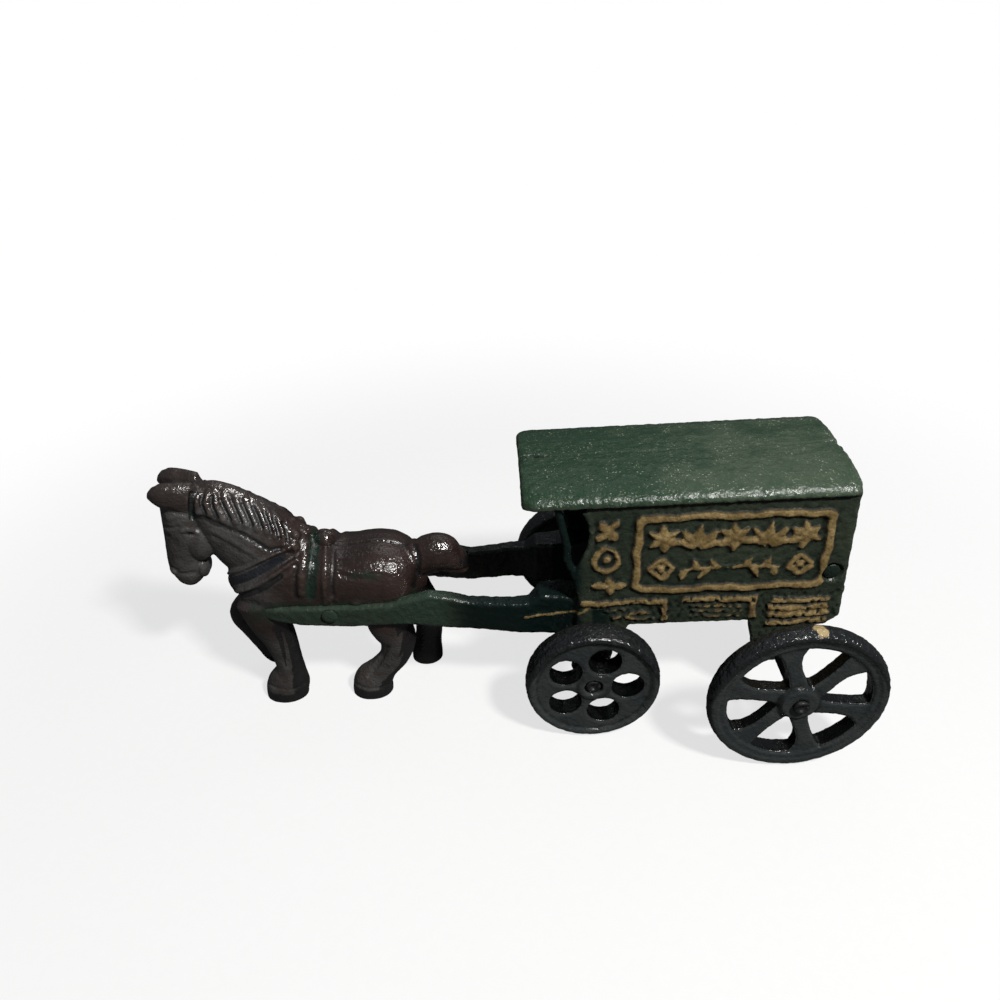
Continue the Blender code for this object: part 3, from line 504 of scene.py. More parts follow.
def enamel(name, deep, pale, worn, chips_and_shade, gloss, wear, specks):
    """Old brushed enamel over rough iron: two tones, painted shade in the hollows, rubbed edges, specks and
    chips.
    """
    made, g = material(name)
    rubbed = g.times(g.mask("edge"), g.ramp(g.noise(0.7, 6, 0.7), 0.38, 0.66, 0.1, 1))
    chips = g.ramp(g.noise(0.3, 8, 0.74, 0.3), 0.69, 0.72)
    colour = g.coats(
        g.mix(g.ramp(g.noise(0.055, 5, 0.65), 0.36, 0.66), deep, pale),
        (g.ramp(g.noise(0.8, 5, 0.7), 0.42, 0.75, 0, 0.35), pale),
        (g.times(rubbed, wear), worn),
        (g.ramp(g.noise(2, 5, 0.75, 0.3), 0.63, 0.72, 0, specks), worn),
        (g.times(chips, 0.7), chips_and_shade),
        # painted shade: the hollows darken towards the colour of the chips
        (g.times(g.mask("hollow"), 0.8), chips_and_shade))
    rough = g.ramp(g.noise(0.35, 4), 0.3, 0.75, gloss - 0.06, gloss + 0.16)
    return made, g, colour, g.plus(rough, (g.mask("hollow"), 0.25)), chips


def enamel_skin(g, chips, lumps, grain):
    """The skin of the casting under its paint: lumps, grain and the edges of chips."""
    normal = g.relief(g.noise(0.42, 3, 0.5), 0.4 * lumps, 0.4)
    normal = g.relief(g.noise(1.3, 2, 0.5), 1, 0.22 * grain, normal)
    normal = g.relief(g.noise(3, 2, 0.5), 0.3, 0.04 * grain, normal)
    return g.relief(chips, 0.5, -0.1, normal)


def roof_colour(g, length, eave):
    """Green, darker at the front, with scuffs, clusters of pale specks that are partly paint flecks and
    partly painted glints, stains and a rubbed eave.
    """
    shade = g.plus(g.noise(0.07, 6, 0.7), g.ramp(length, 0, 0.07, -0.3, 0.03))
    clusters = g.ramp(g.noise(0.14, 4, 0.6), 0.42, 0.6, 0.1, 1)
    return g.coats(
        g.mix(g.ramp(shade, 0.3, 0.64), ROOF_DEEP, ROOF_PALE),
        (g.ramp(g.noise(0.9, 8, 0.8, 0.4), 0.52, 0.68, 0, 0.45), ROOF_RUBBED),
        (g.ramp(g.noise(0.5, 10, 0.85, 1, (0.8, 1, 1)), 0.62, 0.655, 0, 0.8), ROOF_SCUFF),
        # pale specks: partly paint flecks, partly painted glints
        (g.times(g.ramp(g.noise(1.7, 2, 0.6), 0.64, 0.68, 0, 0.9), clusters), ROOF_SPECK_AND_GLINT),
        (g.ramp(g.noise(0.16, 7, 0.75, 0.6), 0.58, 0.7, 0, 0.5), ROOF_STAIN),
        (g.times(eave, g.ramp(g.noise(0.8, 6, 0.7), 0.4, 0.65)), EAVE_WORN))


def tan_colour(g):
    return g.coats(
        g.mix(g.ramp(g.noise(0.24, 5, 0.65), 0.36, 0.66), TAN_DEEP, TAN_PALE),
        (g.ramp(g.noise(1.1, 6, 0.78), 0.48, 0.66, 0, 0.9), TAN_DIRT),
        (g.ramp(g.noise(0.5, 6, 0.75, 0.5), 0.6, 0.68, 0, 0.8), TAN_RED))


def body_material():
    made, g, colour, rough, chips = enamel(
        "body_enamel", deep=(0.02, 0.029, 0.0195), pale=(0.034, 0.043, 0.028), worn=(0.07, 0.085, 0.062),
        chips_and_shade=(0.002, 0.0035, 0.0028), gloss=0.21, wear=0.6, specks=0.35)
    along = g.node("SeparateXYZ")
    g.wire(g.position, along.inputs[0])
    length = along.outputs["X"]
    eave = g.times(g.mask("edge"), g.ramp(length, 0.02, 0.08, 0.3, 1))
    flecks = g.ramp(g.noise(2.4, 4, 0.75), 0.6, 0.68, 0, 0.5)
    tan = g.ragged("tan", 0.9, 0.75)
    roof, spray, dark, outline = g.mask("roof"), g.mask("spray"), g.mask("dark"), g.mask("outline")
    colour = g.coats(
        colour,
        (roof, roof_colour(g, length, eave)),
        (g.times(spray, g.ramp(g.noise(0.9, 6, 0.75), 0.3, 0.64, 0.25, 1)), SHAFT_SPRAY),
        (g.times(spray, flecks), SHAFT_FLECK),
        (g.times(g.ragged("inner", 0.5, 0.6), 0.8), SHAFT_INNER),
        # painted shade inside, under the roof, in the seam's ends, at the driver's place and round the rear
        # rivet
        (g.times(dark, 0.95), PAINTED_SHADE_GREEN),
        (tan, tan_colour(g)),
        (g.times(outline, 0.75), OUTLINE_BLACK),
        (g.times(g.mask("scrap"), g.ramp(g.noise(0.7, 6, 0.75), 0.42, 0.6)), SCRAP_RUST))
    rough = g.plus(rough, (tan, 0.42), (roof, 0.1), (eave, -0.12), (outline, 0.35), (dark, 0.12))
    g.surface(colour, rough, enamel_skin(g, chips, 1, 0.9), specular=0.36)
    return made


def horse_material():
    made, g, colour, rough, chips = enamel(
        "horse_enamel", deep=(0.016, 0.0095, 0.008), pale=(0.035, 0.0212, 0.0176), worn=(0.085, 0.065, 0.055),
        chips_and_shade=(0.003, 0.0023, 0.0023), gloss=0.19, wear=0.5, specks=0.25)
    dusty = g.times(g.mask("grey"), g.ramp(g.noise(0.2, 6, 0.7), 0.3, 0.62, 0.35, 1))
    colour = g.coats(
        colour,
        (dusty, HORSE_GREY),
        # black paint on hooves, girth and tail tip, and painted shade in grooves, gaps, undersides, rear
        # faces and far legs
        (g.times(g.ragged("dark", 0.35, 0.7), 0.85), HORSE_BLACK_AND_SHADE),
        (g.times(g.ragged("blue", 0.4, 0.6), 0.9), COLLAR_BLUE),
        (g.times(g.mask("green"), g.ramp(g.noise(0.6, 6, 0.75), 0.34, 0.6)), HARNESS_GREEN))
    g.surface(colour, g.plus(rough, (dusty, 0.14)), enamel_skin(g, chips, 0.35, 1.15), specular=0.9)
    return made


def wheel_material():
    made, g, colour, rough, chips = enamel(
        "wheel_enamel", deep=(0.024, 0.029, 0.03), pale=(0.038, 0.044, 0.043), worn=(0.07, 0.073, 0.072),
        chips_and_shade=(0.0022, 0.0024, 0.0026), gloss=0.19, wear=0.5, specks=0.3)
    tread = g.mask("tread")
    rubbed = g.times(tread, g.ramp(g.noise(1, 6, 0.75), 0.44, 0.62))
    colour = g.coats(
        colour,
        # black tread paint, whose mask near the top of the wheel also holds painted shade
        (g.times(tread, 0.85), TREAD_BLACK),
        (g.times(rubbed, 0.25), TREAD_RUBBED),
        # painted shade in the holes and round the hub
        (g.mask("dark"), HOLE_PAINTED_SHADE),
        (g.ragged("tan", 0.6, 1.3), WHEEL_TAN))
    grains = g.times(tread, g.noise(0.9, 2, 0.5))
    skin = g.relief(grains, 1, 0.5, enamel_skin(g, chips, 0.7, 1))
    g.surface(colour, g.plus(rough, (tread, -0.05)), skin, specular=0.75)
    return made


def steel_material():
    made, g = material("rod_steel")
    colour = g.coats(
        g.mix(g.ramp(g.noise(0.7, 6, 0.7), 0.35, 0.65), STEEL_DEEP, STEEL_PALE),
        (g.ramp(g.noise(1.8, 5, 0.7), 0.6, 0.68), STEEL_RUST))
    rough = g.ramp(g.noise(1, 4), 0.3, 0.7, 0.38, 0.65)
    g.surface(colour, rough, g.relief(g.noise(1.5, 4), 0.6, 0.3), metallic=0.3)
    return made


def paper_material(near, far):
    """Pale paper: white to the camera, with the soft shadow of what stands on it."""
    made, g = material("paper")
    tone = g.mix(g.ramp(g.noise(0.35, 3), 0.3, 0.7), PAPER_DEEP, PAPER_PALE)
    seen = g.node("LightPath").outputs["Is Camera Ray"]
    diffuse = g.node("BsdfDiffuse")
    g.wire(g.mix(seen, PAPER_UNSEEN, tone), diffuse.inputs["Color"])
    spread = g.node("VectorMath", operation="LENGTH")
    g.wire(g.position, spread.inputs[0])
    whitening = g.ramp(spread.outputs["Value"], near, far, 0.72, 1)
    glow = g.lit("Emission", WHITE)
    g.end("OutputMaterial", g.times(seen, whitening), diffuse.outputs[0], glow)
    return made


# The horse: each limb is a row of stations (x, y, z, radius in profile, radius in y) in millimetres
TRUNK = (
    (-103, 0, 41, 4.8, 5), (-100.6, 0, 41.8, 9.2, 8.6), (-94, 0, 43, 12, 10.8), (-85, 0, 43.4, 12.2, 11.6),
    (-76, 0, 42.9, 10.8, 11.8), (-70, 0, 42.6, 10, 12), (-61, 0, 42.8, 10.8, 12), (-55.6, 0, 42.2, 10, 11),
    (-51.6, 0, 41.2, 7.6, 8.2), (-49.2, 0, 40.8, 5, 5.6))
NECK = (
    (-86, 0, 46.5, 11.5, 9.5), (-91.6, 0, 51.6, 12.6, 9), (-96.6, 0, 56.4, 12.6, 7.8),
    (-101.2, 0, 61.8, 10.9, 6.6), (-105.6, 0, 67, 7.8, 5.6), (-109.4, 0, 70.2, 5.4, 5))
HEAD = (
    (-110.6, 0, 71.2, 4.6, 4.6), (-113.2, 0, 68.6, 6.4, 5.6), (-114.3, 0, 63.4, 6.2, 6),
    (-115.2, 0, 57.8, 6, 5.4), (-116.2, 0, 52.4, 5.8, 4.7), (-116.7, 0, 48, 5.7, 4.6),
    (-117, 0, 45, 4.9, 4.3), (-117.3, 0, 42.5, 3.5, 3.5))
TAIL = (
    (-54, 0, 44.6, 6.4, 6.4), (-48.4, 0, 46.8, 6, 5.5), (-43.2, 0, 48, 6.3, 5.3),
    (-40.2, 0, 46.4, 5.1, 4.8), (-37.8, 0, 44.2, 3.9, 3.9), (-36.2, 0, 42.2, 2.2, 2.5))
CREST = (
    (-109.5, 0, 73.4, 1.8, 1.8), (-103.5, 0, 72.9, 2.5, 2.1), (-97.5, 0, 69.9, 2.7, 2.3),
    (-91.5, 0, 65.2, 2.7, 2.4), (-86, 0, 60.2, 2.7, 2.4), (-81, 0, 56.2, 2.4, 2.2))
EAR = (
    (-109.8, 2.8, 71.8, 5, 2.9), (-113.6, 3.5, 72.6, 4.9, 2.9), (-116.8, 4.1, 74, 4, 2.5),
    (-118.9, 4.4, 75.1, 2.9, 1.8), (-119.5, 4.5, 75.6, 2.1, 1.2))
NEAR_FORELEG = (
    (-96, 6.4, 38, 7.6, 5), (-94.6, 6.9, 30.5, 6.4, 4.6), (-92.8, 6.9, 23.5, 5.2, 4.1),
    (-91.8, 6.7, 16, 4.4, 3.7), (-91.6, 6.5, 11, 4.5, 3.8), (-92.6, 6.3, 6.4, 6.2, 4.6),
    (-93.9, 6.3, 2.4, 6.6, 4.9), (-94.2, 6.3, -1.5, 6.5, 4.9))
NEAR_HIND_LEG = (
    (-57.5, 5.6, 38, 8.4, 5.8), (-59.2, 7, 29, 6.9, 4.8), (-57.2, 7.2, 21.8, 5.7, 4.2),
    (-58.8, 6.9, 14.8, 4.6, 3.7), (-62.8, 6.5, 9.4, 4.5, 3.8), (-66, 6.3, 5, 6.1, 4.6),
    (-66.9, 6.3, 1.6, 6.3, 4.9), (-67, 6.3, -1.5, 6.3, 4.9))
FAR_FORELEG = (
    (-97.6, 6.2, 37, 6.2, 5), (-102.2, 7, 29.2, 4.3, 4.1), (-107.9, 7.8, 22, 3.8, 3.8),
    (-105.6, 7.8, 15.6, 3.6, 3.4), (-102.6, 7.8, 9.4, 3.6, 3.4), (-99.8, 7.8, 5.2, 4.2, 3.9),
    (-96.8, 7.8, 4.6, 3.6, 3.6))
FAR_HIND_LEG = (
    (-57.5, 5.6, 38, 8.4, 5.8), (-53, 7.4, 29, 6.2, 4.7), (-48.9, 8.2, 20, 4.9, 4.1),
    (-49, 8.2, 12.5, 4.3, 3.7), (-49.7, 8.2, 7.6, 4.4, 3.9), (-50.2, 8.2, 3.8, 4.9, 4.4),
    (-50.4, 8.2, 1, 5, 4.6), (-50.4, 8.2, -1.5, 5, 4.6))
TRUNK_SQUARENESS = 2.6
SOLE_LIFT = 0.05

# The knob over the collar, the poll and the end of the mane: x, y, z and three radii
KNOBS = ((-76, 0, 54.7, 3.3, 2.9, 2.9), (-109, 0, 72.6, 3, 3.2, 2.6), (-84.9, 0, 60.3, 2.2, 2, 2.1))

# Rounded swellings on both sides of the horse: x, y, z and three radii
SWELLINGS = (
    (-115.4, 3.9, 66.9, 2.7, 1.9, 2.3), (-111, 2.6, 57.2, 4.6, 3, 6.4), (-119.3, 2, 47.6, 2.4, 2.4, 2.6),
    (-112.4, 0.9, 47.4, 2, 2.9, 3.8), (-84, 5.6, 56.2, 2.2, 1.9, 2), (-83.2, 3.6, 58.6, 1.7, 1.6, 1.5),
    (-91, 6.8, 41, 7.4, 4.7, 8.6), (-58.2, 6.6, 42.6, 7.4, 5.6, 9.2))

# Lines on the horse, drawn on the picture in pixels
LOCKS = (
    ((198, 493), (196, 502), (199, 513)), ((208, 493), (206, 503), (210, 514)),
    ((214, 493), (217, 507), (223, 520)), ((224, 495), (230, 508), (236, 522)),
    ((235, 497), (240, 510), (246, 525)), ((246, 500), (251, 513), (257, 529)),
    ((256, 504), (262, 517), (267, 532)), ((267, 508), (271, 522), (276, 536)),
    ((276, 513), (281, 528), (284, 544)))
LOCK_GAPS = (
    ((203, 496), (201, 503), (205, 513)), ((212, 497), (212, 506), (217, 517)),
    ((220, 500), (224, 508), (230, 520)), ((231, 501), (235, 509), (241, 522)),
    ((242, 505), (246, 512), (252, 525)), ((253, 508), (257, 515), (262, 528)),
    ((264, 513), (267, 520), (272, 532)), ((273, 519), (276, 526), (280, 538)),
    ((282, 523), (286, 531), (288, 541)))
MANE_EDGE = ((193, 516), (204, 518), (214, 523), (226, 528), (240, 533), (254, 541), (268, 549), (280, 549))
COLLAR = ((230, 582), (246, 577), (262, 569), (278, 560), (288, 554))
GIRTH_GROOVE = ((334.5, 540), (333.5, 552), (333, 566), (332, 585), (334, 602))
GIRTH_HOLLOW = ((315, 538), (314, 548), (313, 563), (311, 580), (311, 596))
FLANK_GROOVE = ((415, 546), (418, 556), (418, 570), (413, 586))
POLL_GROOVE = ((192, 518), (191, 506), (192, 494))
SHOULDER_GROOVE = ((236, 597), (252, 593), (266, 587), (280, 577))

# Strokes on the picture: height in millimetres (below 0 is a groove), radius in millimetres, and line
FACE_STROKES = (
    (-0.3, 0.8, ((163, 526), (170, 528.5), (178, 527))),
    (-0.55, 0.9, ((160, 529), (163, 533), (168, 536))),
    (-0.3, 0.9, ((168, 510), (176, 513), (186, 515))),
    (0.4, 1, ((182, 531), (190, 530), (198, 533))),
    (-0.55, 0.9, ((167, 563), (170, 567), (176, 571))),
    (-0.35, 0.9, ((178, 574), (187, 574), (195, 573))),
    (-0.25, 0.8, ((198, 574), (199, 566), (202, 559))),
    (-0.15, 1.6, ((176, 543), (178, 552), (180, 560))),
    (-0.6, 1.3, POLL_GROOVE),
    (0.25, 0.9, ((197, 518), (197, 508), (198, 497))))
COLLAR_STROKES = (
    (0.7, 0.95, ((234, 592), (250, 588), (268, 579), (283, 569), (296, 560))),
    (0.7, 0.95, ((230, 573), (246, 568), (262, 560), (278, 553), (288, 549))))
GIRTH_STROKES = (
    (0.7, 2.1, ((308, 540), (305, 550), (303, 562), (301, 576), (301, 592))),
    (0.6, 1.5, ((327, 538), (325.5, 550), (325, 564), (324, 582), (326, 602))),
    (-0.45, 1.1, GIRTH_GROOVE))
HARNESS_STROKES = (
    (-0.4, 1.1, MANE_EDGE),
    (0.22, 1.2, ((211, 531), (228, 540), (245, 550), (264, 560))),
    (-0.16, 1.1, ((214, 536), (230, 546), (250, 557))),
    (-0.4, 1.1, SHOULDER_GROOVE),
    (0.3, 1.3, ((262, 590), (275, 584), (288, 575), (297, 564))),
    (-0.45, 1.3, ((297, 566), (295, 580), (296, 597))),
    (0.2, 0.7, ((338, 568), (350, 572), (362, 574), (372, 571), (384, 572))),
    (-0.18, 0.9, ((340, 575), (356, 579), (372, 578))),
    (-0.45, 1.4, FLANK_GROOVE),
    (-0.5, 0.8, ((424, 575), (440, 570), (458, 571), (468, 568))),
    (-0.25, 0.8, ((457, 541), (461, 553), (462, 566))))
LEG_STROKES = (
    (-0.4, 1.2, ((387, 648), (379, 662), (369, 676))),
    (0.25, 1.3, ((404, 634), (399, 650), (390, 664))),
    (-0.22, 0.7, ((354, 683), (366, 688), (380, 688), (393, 682))),
    (-0.3, 1.3, ((281, 634), (285, 650), (288, 666))),
    (-0.22, 0.7, ((268, 684), (280, 689), (294, 689), (307, 682))),
    (-0.25, 0.9, ((296, 632), (300, 648), (305, 664))))

# Painted shade in grooves, drawn on the picture: strength, radius in millimetres, and line
SHADED_GROOVES = ((0.45, 1.1, GIRTH_GROOVE), (0.7, 1.8, FLANK_GROOVE), (0.8, 1.8, SHOULDER_GROOVE),
              (0.7, 1.6, MANE_EDGE))

# Spots on the picture: middle, half width and half height in pixels
EYE = (190.5, 534.5, 6.5, 3.2)
BUCKLES = ((333, 600, 7, 4.5), (356, 603, 8, 4))
CREST_BLUE = (216, 518, 6, 4)
POLL_GREEN, FLANK_GREEN = (193, 514, 6, 13), (366, 576, 24, 8)
TAIL_ROOT = (466, 562, 12, 12)

# The split along the horse's back: its place across, its widest point, and where it ends on the rump
SPLIT_Y, SPLIT_X, SPLIT_END = -0.6, -56.8, (50.5, 53)

# Where the harness lies behind the collar, in x, and the mane above it, in z
BEHIND_COLLAR, ABOVE_COLLAR = (-79.5, -81.5), (51, 53.5)


def carve_horse(s):
    """Face, mane, harness, folds and hooves by the picture's lines, then the split along the back."""
    inner_ear = np.sqrt(((s.x + 116.6) / 3.2) ** 2 + ((s.out - 3.2) / 2.4) ** 2 + ((s.z - 74) / 2.2) ** 2)
    s.push(bump(inner_ear, 1) * (np.sign(s.ny) != np.sign(s.y)) * (s.z > 71), -0.9)
    s.strokes(FACE_STROKES)
    s.push(s.spot(*EYE), -0.55)
    neck = rise(s.x, -80, -83) * rise(s.z, *ABOVE_COLLAR) * rise(s.out, 0.9, 2.2)
    s.strokes([(0.6, 1.55, lock) for lock in LOCKS], neck)
    s.strokes([(-0.38, 0.75, gap) for gap in LOCK_GAPS], neck)
    s.strokes(HARNESS_STROKES)
    s.push(s.stripe(COLLAR, 1.4, 1) * rise(s.x, *BEHIND_COLLAR), -0.35)
    s.strokes(COLLAR_STROKES, rise(s.x, *BEHIND_COLLAR))
    off_crest = rise(s.out, 1.2, 4)
    s.strokes(GIRTH_STROKES, off_crest)
    s.push(s.stripe(GIRTH_HOLLOW, 0.8, 1) * off_crest, -0.5)
    for buckle in BUCKLES:
        s.push(s.spot(*buckle), 0.6)
    s.strokes(LEG_STROKES, rise(-s.y, 0, 1) * rise(s.z, 31, 29))
    on_top = (s.nz > 0.2) & (s.x > -82)
    split = 0.22 + 0.7 * bump(np.abs(s.x - SPLIT_X), 4.6) + 0.2 * np.sin(s.x * 0.7) ** 2
    s.push(bump(np.abs(s.y - SPLIT_Y), 0.6) * on_top * split * rise(-s.x, *SPLIT_END), -1)
    s.done()


def paint_horse(s):
    """Masks of the blue collar, the green harness, the grey head, black paint, and painted shade in grooves,
    gaps, undersides and the far legs.
    """
    s.paint_wear(rounds=16)
    collar = s.stripe(COLLAR, 0.8, 1.1) * rise(s.x, *BEHIND_COLLAR) * rise(-s.x, 83, 88)
    s.paint("blue", 0.85 * collar + 0.5 * s.spot(*CREST_BLUE))
    on_belly = band(np.abs(s.z - 36.6), 2.8, 2) * (np.abs(s.x + 73) < 26) * (s.out > 6)
    s.paint("green", most(
        s.stripe(GIRTH_HOLLOW, 1.3, 0.6) * rise(s.z, 38, 42),
        s.spot(*POLL_GREEN),
        0.9 * s.spot(*FLANK_GREEN),
        0.8 * on_belly))
    head = rise(-s.x, 84, 98) * rise(s.z, 36, 42) * (1 - 0.75 * rise(s.z, 68.5, 71))
    s.paint("grey", most(head, 0.95 * rise(-s.z, -32, -20)))
    # painted shade in the split along the back
    split = band(np.abs(s.y - SPLIT_Y), 0.32, 0.35) * (s.nz > 0.1)
    split *= rise(s.x, -80, -77) * rise(-s.x, *SPLIT_END)
    # black paint on the hooves, the girth strap and the tail tip; painted shade on faces turned rearward, the
    # far legs, undersides, the eye, the poll groove, the split, the grooves and the gaps of the mane
    s.paint("dark", most(
        0.95 * rise(s.nx, 0.05, 0.45) * rise(-s.z, -38, -30),
        1.2 * (s.y > 1) * rise(-s.z, -36, -30),
        0.75 * rise(-s.z, -6, -2),
        0.55 * rise(-s.nz, 0.2, 0.8),
        0.85 * s.spot(*TAIL_ROOT),
        0.9 * s.spot(*EYE),
        0.85 * s.stripe(GIRTH_HOLLOW, 0.9, 0.7),
        0.9 * s.stripe(POLL_GROOVE, 0.7, 0.5),
        split * (0.5 + 0.9 * bump(np.abs(s.x - SPLIT_X), 6)),
        *[strength * s.line(points, radius) for strength, radius, points in SHADED_GROOVES],
        *[0.9 * s.line(gap, 1.3) * rise(s.z, *ABOVE_COLLAR) for gap in LOCK_GAPS]))


def build_horse():
    pieces = [limb(TRUNK, squareness=TRUNK_SQUARENESS), limb(NECK), limb(HEAD), limb(TAIL), limb(CREST),
              limb(EAR, LEFT), limb(EAR, RIGHT), limb(NEAR_FORELEG, LEFT), limb(NEAR_HIND_LEG, LEFT),
              limb(FAR_FORELEG, RIGHT), limb(FAR_HIND_LEG, RIGHT), *[ball(*knob) for knob in KNOBS]]
    for x, y, z, rx, ry, rz in SWELLINGS:
        pieces += [ball(x, side * y, z, rx, ry, rz) for side in (LEFT, RIGHT)]
    horse = fuse("horse", pieces, voxel=0.34, smoothing=5)
    shape = bmesh.new()
    shape.from_mesh(horse.data)
    cut = bmesh.ops.bisect_plane(shape, geom=shape.verts[:] + shape.edges[:] + shape.faces[:], dist=1e-7,
                                 plane_co=(0, 0, SOLE_LIFT * MM), plane_no=(0, 0, -1), clear_outer=True)
    bmesh.ops.holes_fill(shape, edges=[e for e in cut["geom_cut"] if isinstance(e, bmesh.types.BMEdge)])
    shape.to_mesh(horse.data)
    shape.free()
    carve_horse(Sculpt(horse))
    roughen(horse, size=2.4, strength=0.16, shift=0.013)
    hold(horse)
    paint_horse(Sculpt(horse))
    return horse


# Ornament of the side walls in the side view: strokes of (x, z, width) points, raised and painted tan
def petals(x, z, reach, angles, start=0.16, width=1.45, radius=1):
    widths = ((start, 0.6), (0.6, width), (1, 0.45))
    return [([(x + reach * r * math.cos(a), z + reach * r * math.sin(a), w) for r, w in widths], radius)
            for a in map(math.radians, angles)]


def ring(x, z, half_x, half_z, radius, corners=4):
    """A closed outline: a lozenge with four corners, an oval with more."""
    points = [(x + half_x * math.cos(a), z + half_z * math.sin(a), 1)
              for a in (*turns(corners), 2 * math.pi)]
    return [([a, tuple((p + q) / 2 for p, q in zip(a, b)), b], radius) for a, b in zip(points, points[1:])]


def sprig(x, z, length, direction):
    """A lying stem with leaves on both sides."""
    tip = x + direction * length
    strokes = [([(x, z, 0.9), ((x + tip) / 2, z + 0.6, 1), (tip, z - 0.2, 0.7)], 0.75)]
    for t, up in ((0.22, 1), (0.42, -1), (0.62, 1), (0.84, -1)):
        root = x + direction * length * t
        strokes.append(([(root, z, 0.5), (root + direction * 1.2, z + up * 1.5, 1.5),
                         (root + direction * 2, z + up * 3.2, 0.5)], 0.85))
    return strokes


# Middles of the ornaments on a side wall, in x and z
STARS = ((18.4, 64), (37.1, 64), (55.8, 64))
FANS = ((27.7, 60.4), (46.5, 60.4))
LOZENGES = ((18.3, 53.8), (55.9, 53.8))
CROSS, OVAL, FLOWER = (3.4, 67.2), (3.2, 57.6), (4.6, 49)
SPRIGS = ((36.4, 53.6, 12.6, LEFT), (37.8, 53.6, 12.6, RIGHT))


def ornament_strokes():
    strokes = []
    for star in STARS:
        strokes += petals(*star, 4.6, (90, 30, 150, 210, 330, 270))
    for fan in FANS:
        strokes += petals(*fan, 7.4, (90, 55, 125, 24, 156), start=0.12, width=1.25, radius=1.05)
    for stem in SPRIGS:
        strokes += sprig(*stem)
    for lozenge in LOZENGES:
        strokes += ring(*lozenge, 3.6, 3.4, 0.95)
    strokes += petals(*CROSS, 4.2, (50, 130, 230, 310), start=0.14, width=1.5)
    strokes += ring(*OVAL, 3.4, 3.8, 0.95, corners=8)
    strokes += petals(*FLOWER, 5, (0, 180), start=0.1, width=1.5)
    strokes += petals(*FLOWER, 2.9, (90, 270), start=0.1, width=1.4)
    return strokes


# Rough raised scraps below the sills: x from and to, height, and radius
SCRAPS = (
    (4, 9.5, 39.6, 0.7), (10.5, 16, 38.6, 0.8), (6, 13.5, 36.8, 0.8), (14.2, 17.4, 36.6, 0.7),
    (27.5, 41.5, 40.1, 0.7), (28.2, 42, 38.3, 0.65), (27.8, 36, 36.7, 0.6), (37.5, 42.4, 36.5, 0.7))

# The front post's edge and the driver's opening in x and z, and the bead below them in x, y and z
POST_EDGE = ((-13.5, 73.5), (-11.4, 66), (-9.8, 58), (-7.5, 50.5), (-3.4, 45.5), (-2, 41.5))
DRIVER_RIM = ((-2.4, 73), (-0.7, 68), (-0.9, 62.2), (-3, 56.7), (-4.6, 51.6))
BEAD = (
    (-0.6, 19.4, 41.4), (-1.6, 18.9, 40.6), (-2.6, 18.4, 39.6), (-5.2, 17.6, 38.5), (-8, 16.8, 37.6),
    (-11, 16.3, 36.8), (-14.6, 16.1, 36.3), (-18.6, 16, 35.4))

# Limits of the roof and the walls, the rear rivet, and the bars between the louvres
ROOF_FRONT, ROOF_REAR, ROOF_CROWN_Z, ROOF_RISE = -19.2, 69, 80, 1.2
ROOF_EDGE_Z = 76.5
WALL_INNER_Y, WALL_BOTTOM_Z = 18.2, 29
RIVET_X, RIVET_Z = 65.6, 50.5
BARS_X, BAR_HALF = (19.7, 44.8), 1.6


def notch_at(x):
    """Depth of the roof's seam in its two open ends."""
    return 1.3 * rise(-x, 8, 14) + rise(x, 65, 68)


def wander_at(x):
    return 0.25 * np.sin(x * 0.31) + 0.12 * np.sin(x * 1.1)


def dents_at(x, z):
    """Worn spots of the louvres and the scraps."""
    low_rows = rise(-z, -44.6, -43.6) * (x > 2)
    patches = np.sin(0.8 * x + 1.3 * np.sin(0.9 * z)) * np.sin(1.9 * x - 0.7 * z + 2 * np.sin(0.5 * x))
    return low_rows * rise(patches + 0.5 * np.sin(2.9 * x + 1.7 * z), 0.25, 0.85)


def carve_body(s):
    """Level the roof's crown, cut the seams and dimples, and make the raised work waver."""
    on_roof = (s.nz > 0.3) & (s.z > ROOF_EDGE_Z) & (s.out < 4)
    crown = ROOF_CROWN_Z + ROOF_RISE * ((s.x - ROOF_FRONT) / (ROOF_REAR - ROOF_FRONT) - 0.5) - 0.06
    fill = on_roof & (s.x > ROOF_FRONT + 1) & (s.x < ROOF_REAR - 1)
    s.co[:, 2] = np.where(fill, np.maximum(s.co[:, 2], crown * MM), s.co[:, 2])
    seam = 0.08 + 0.14 * np.sin(s.x * 0.55) ** 2 + notch_at(s.x)
    seam_line = bump(np.abs(s.y - wander_at(s.x)), 0.75)
    s.push(seam_line * (s.z > ROOF_EDGE_Z) * (s.nz > -0.2) * seam, -1)
    wall = (s.z < 74.4) & (s.z > WALL_BOTTOM_Z) & (s.out > WALL_INNER_Y) & (s.x > -5.5)
    s.push(bump(np.hypot(s.x - RIVET_X, s.z - RIVET_Z), 3.3) * wall, -0.2)
    s.push(bump(s.out, 0.5) * (s.nx > 0.5) * (s.x > 66), -0.35)
    waver = rise(s.out, WALL_Y - 0.2, WALL_Y + 0.1) * (s.z < 74) * (s.x > 0)
    s.co[:, 0] += waver * MM * (0.28 * np.sin(0.3 * s.x + 0.55 * s.z) + 0.12 * np.sin(1.1 * s.z - 0.4 * s.x))
    s.co[:, 2] += waver * MM * (0.3 * np.sin(0.33 * s.x - 0.2 * s.z) + 0.13 * np.sin(0.9 * s.x + 0.5 * s.z))
    s.push(dents_at(s.x, s.z) * waver, -0.4)
    s.done()


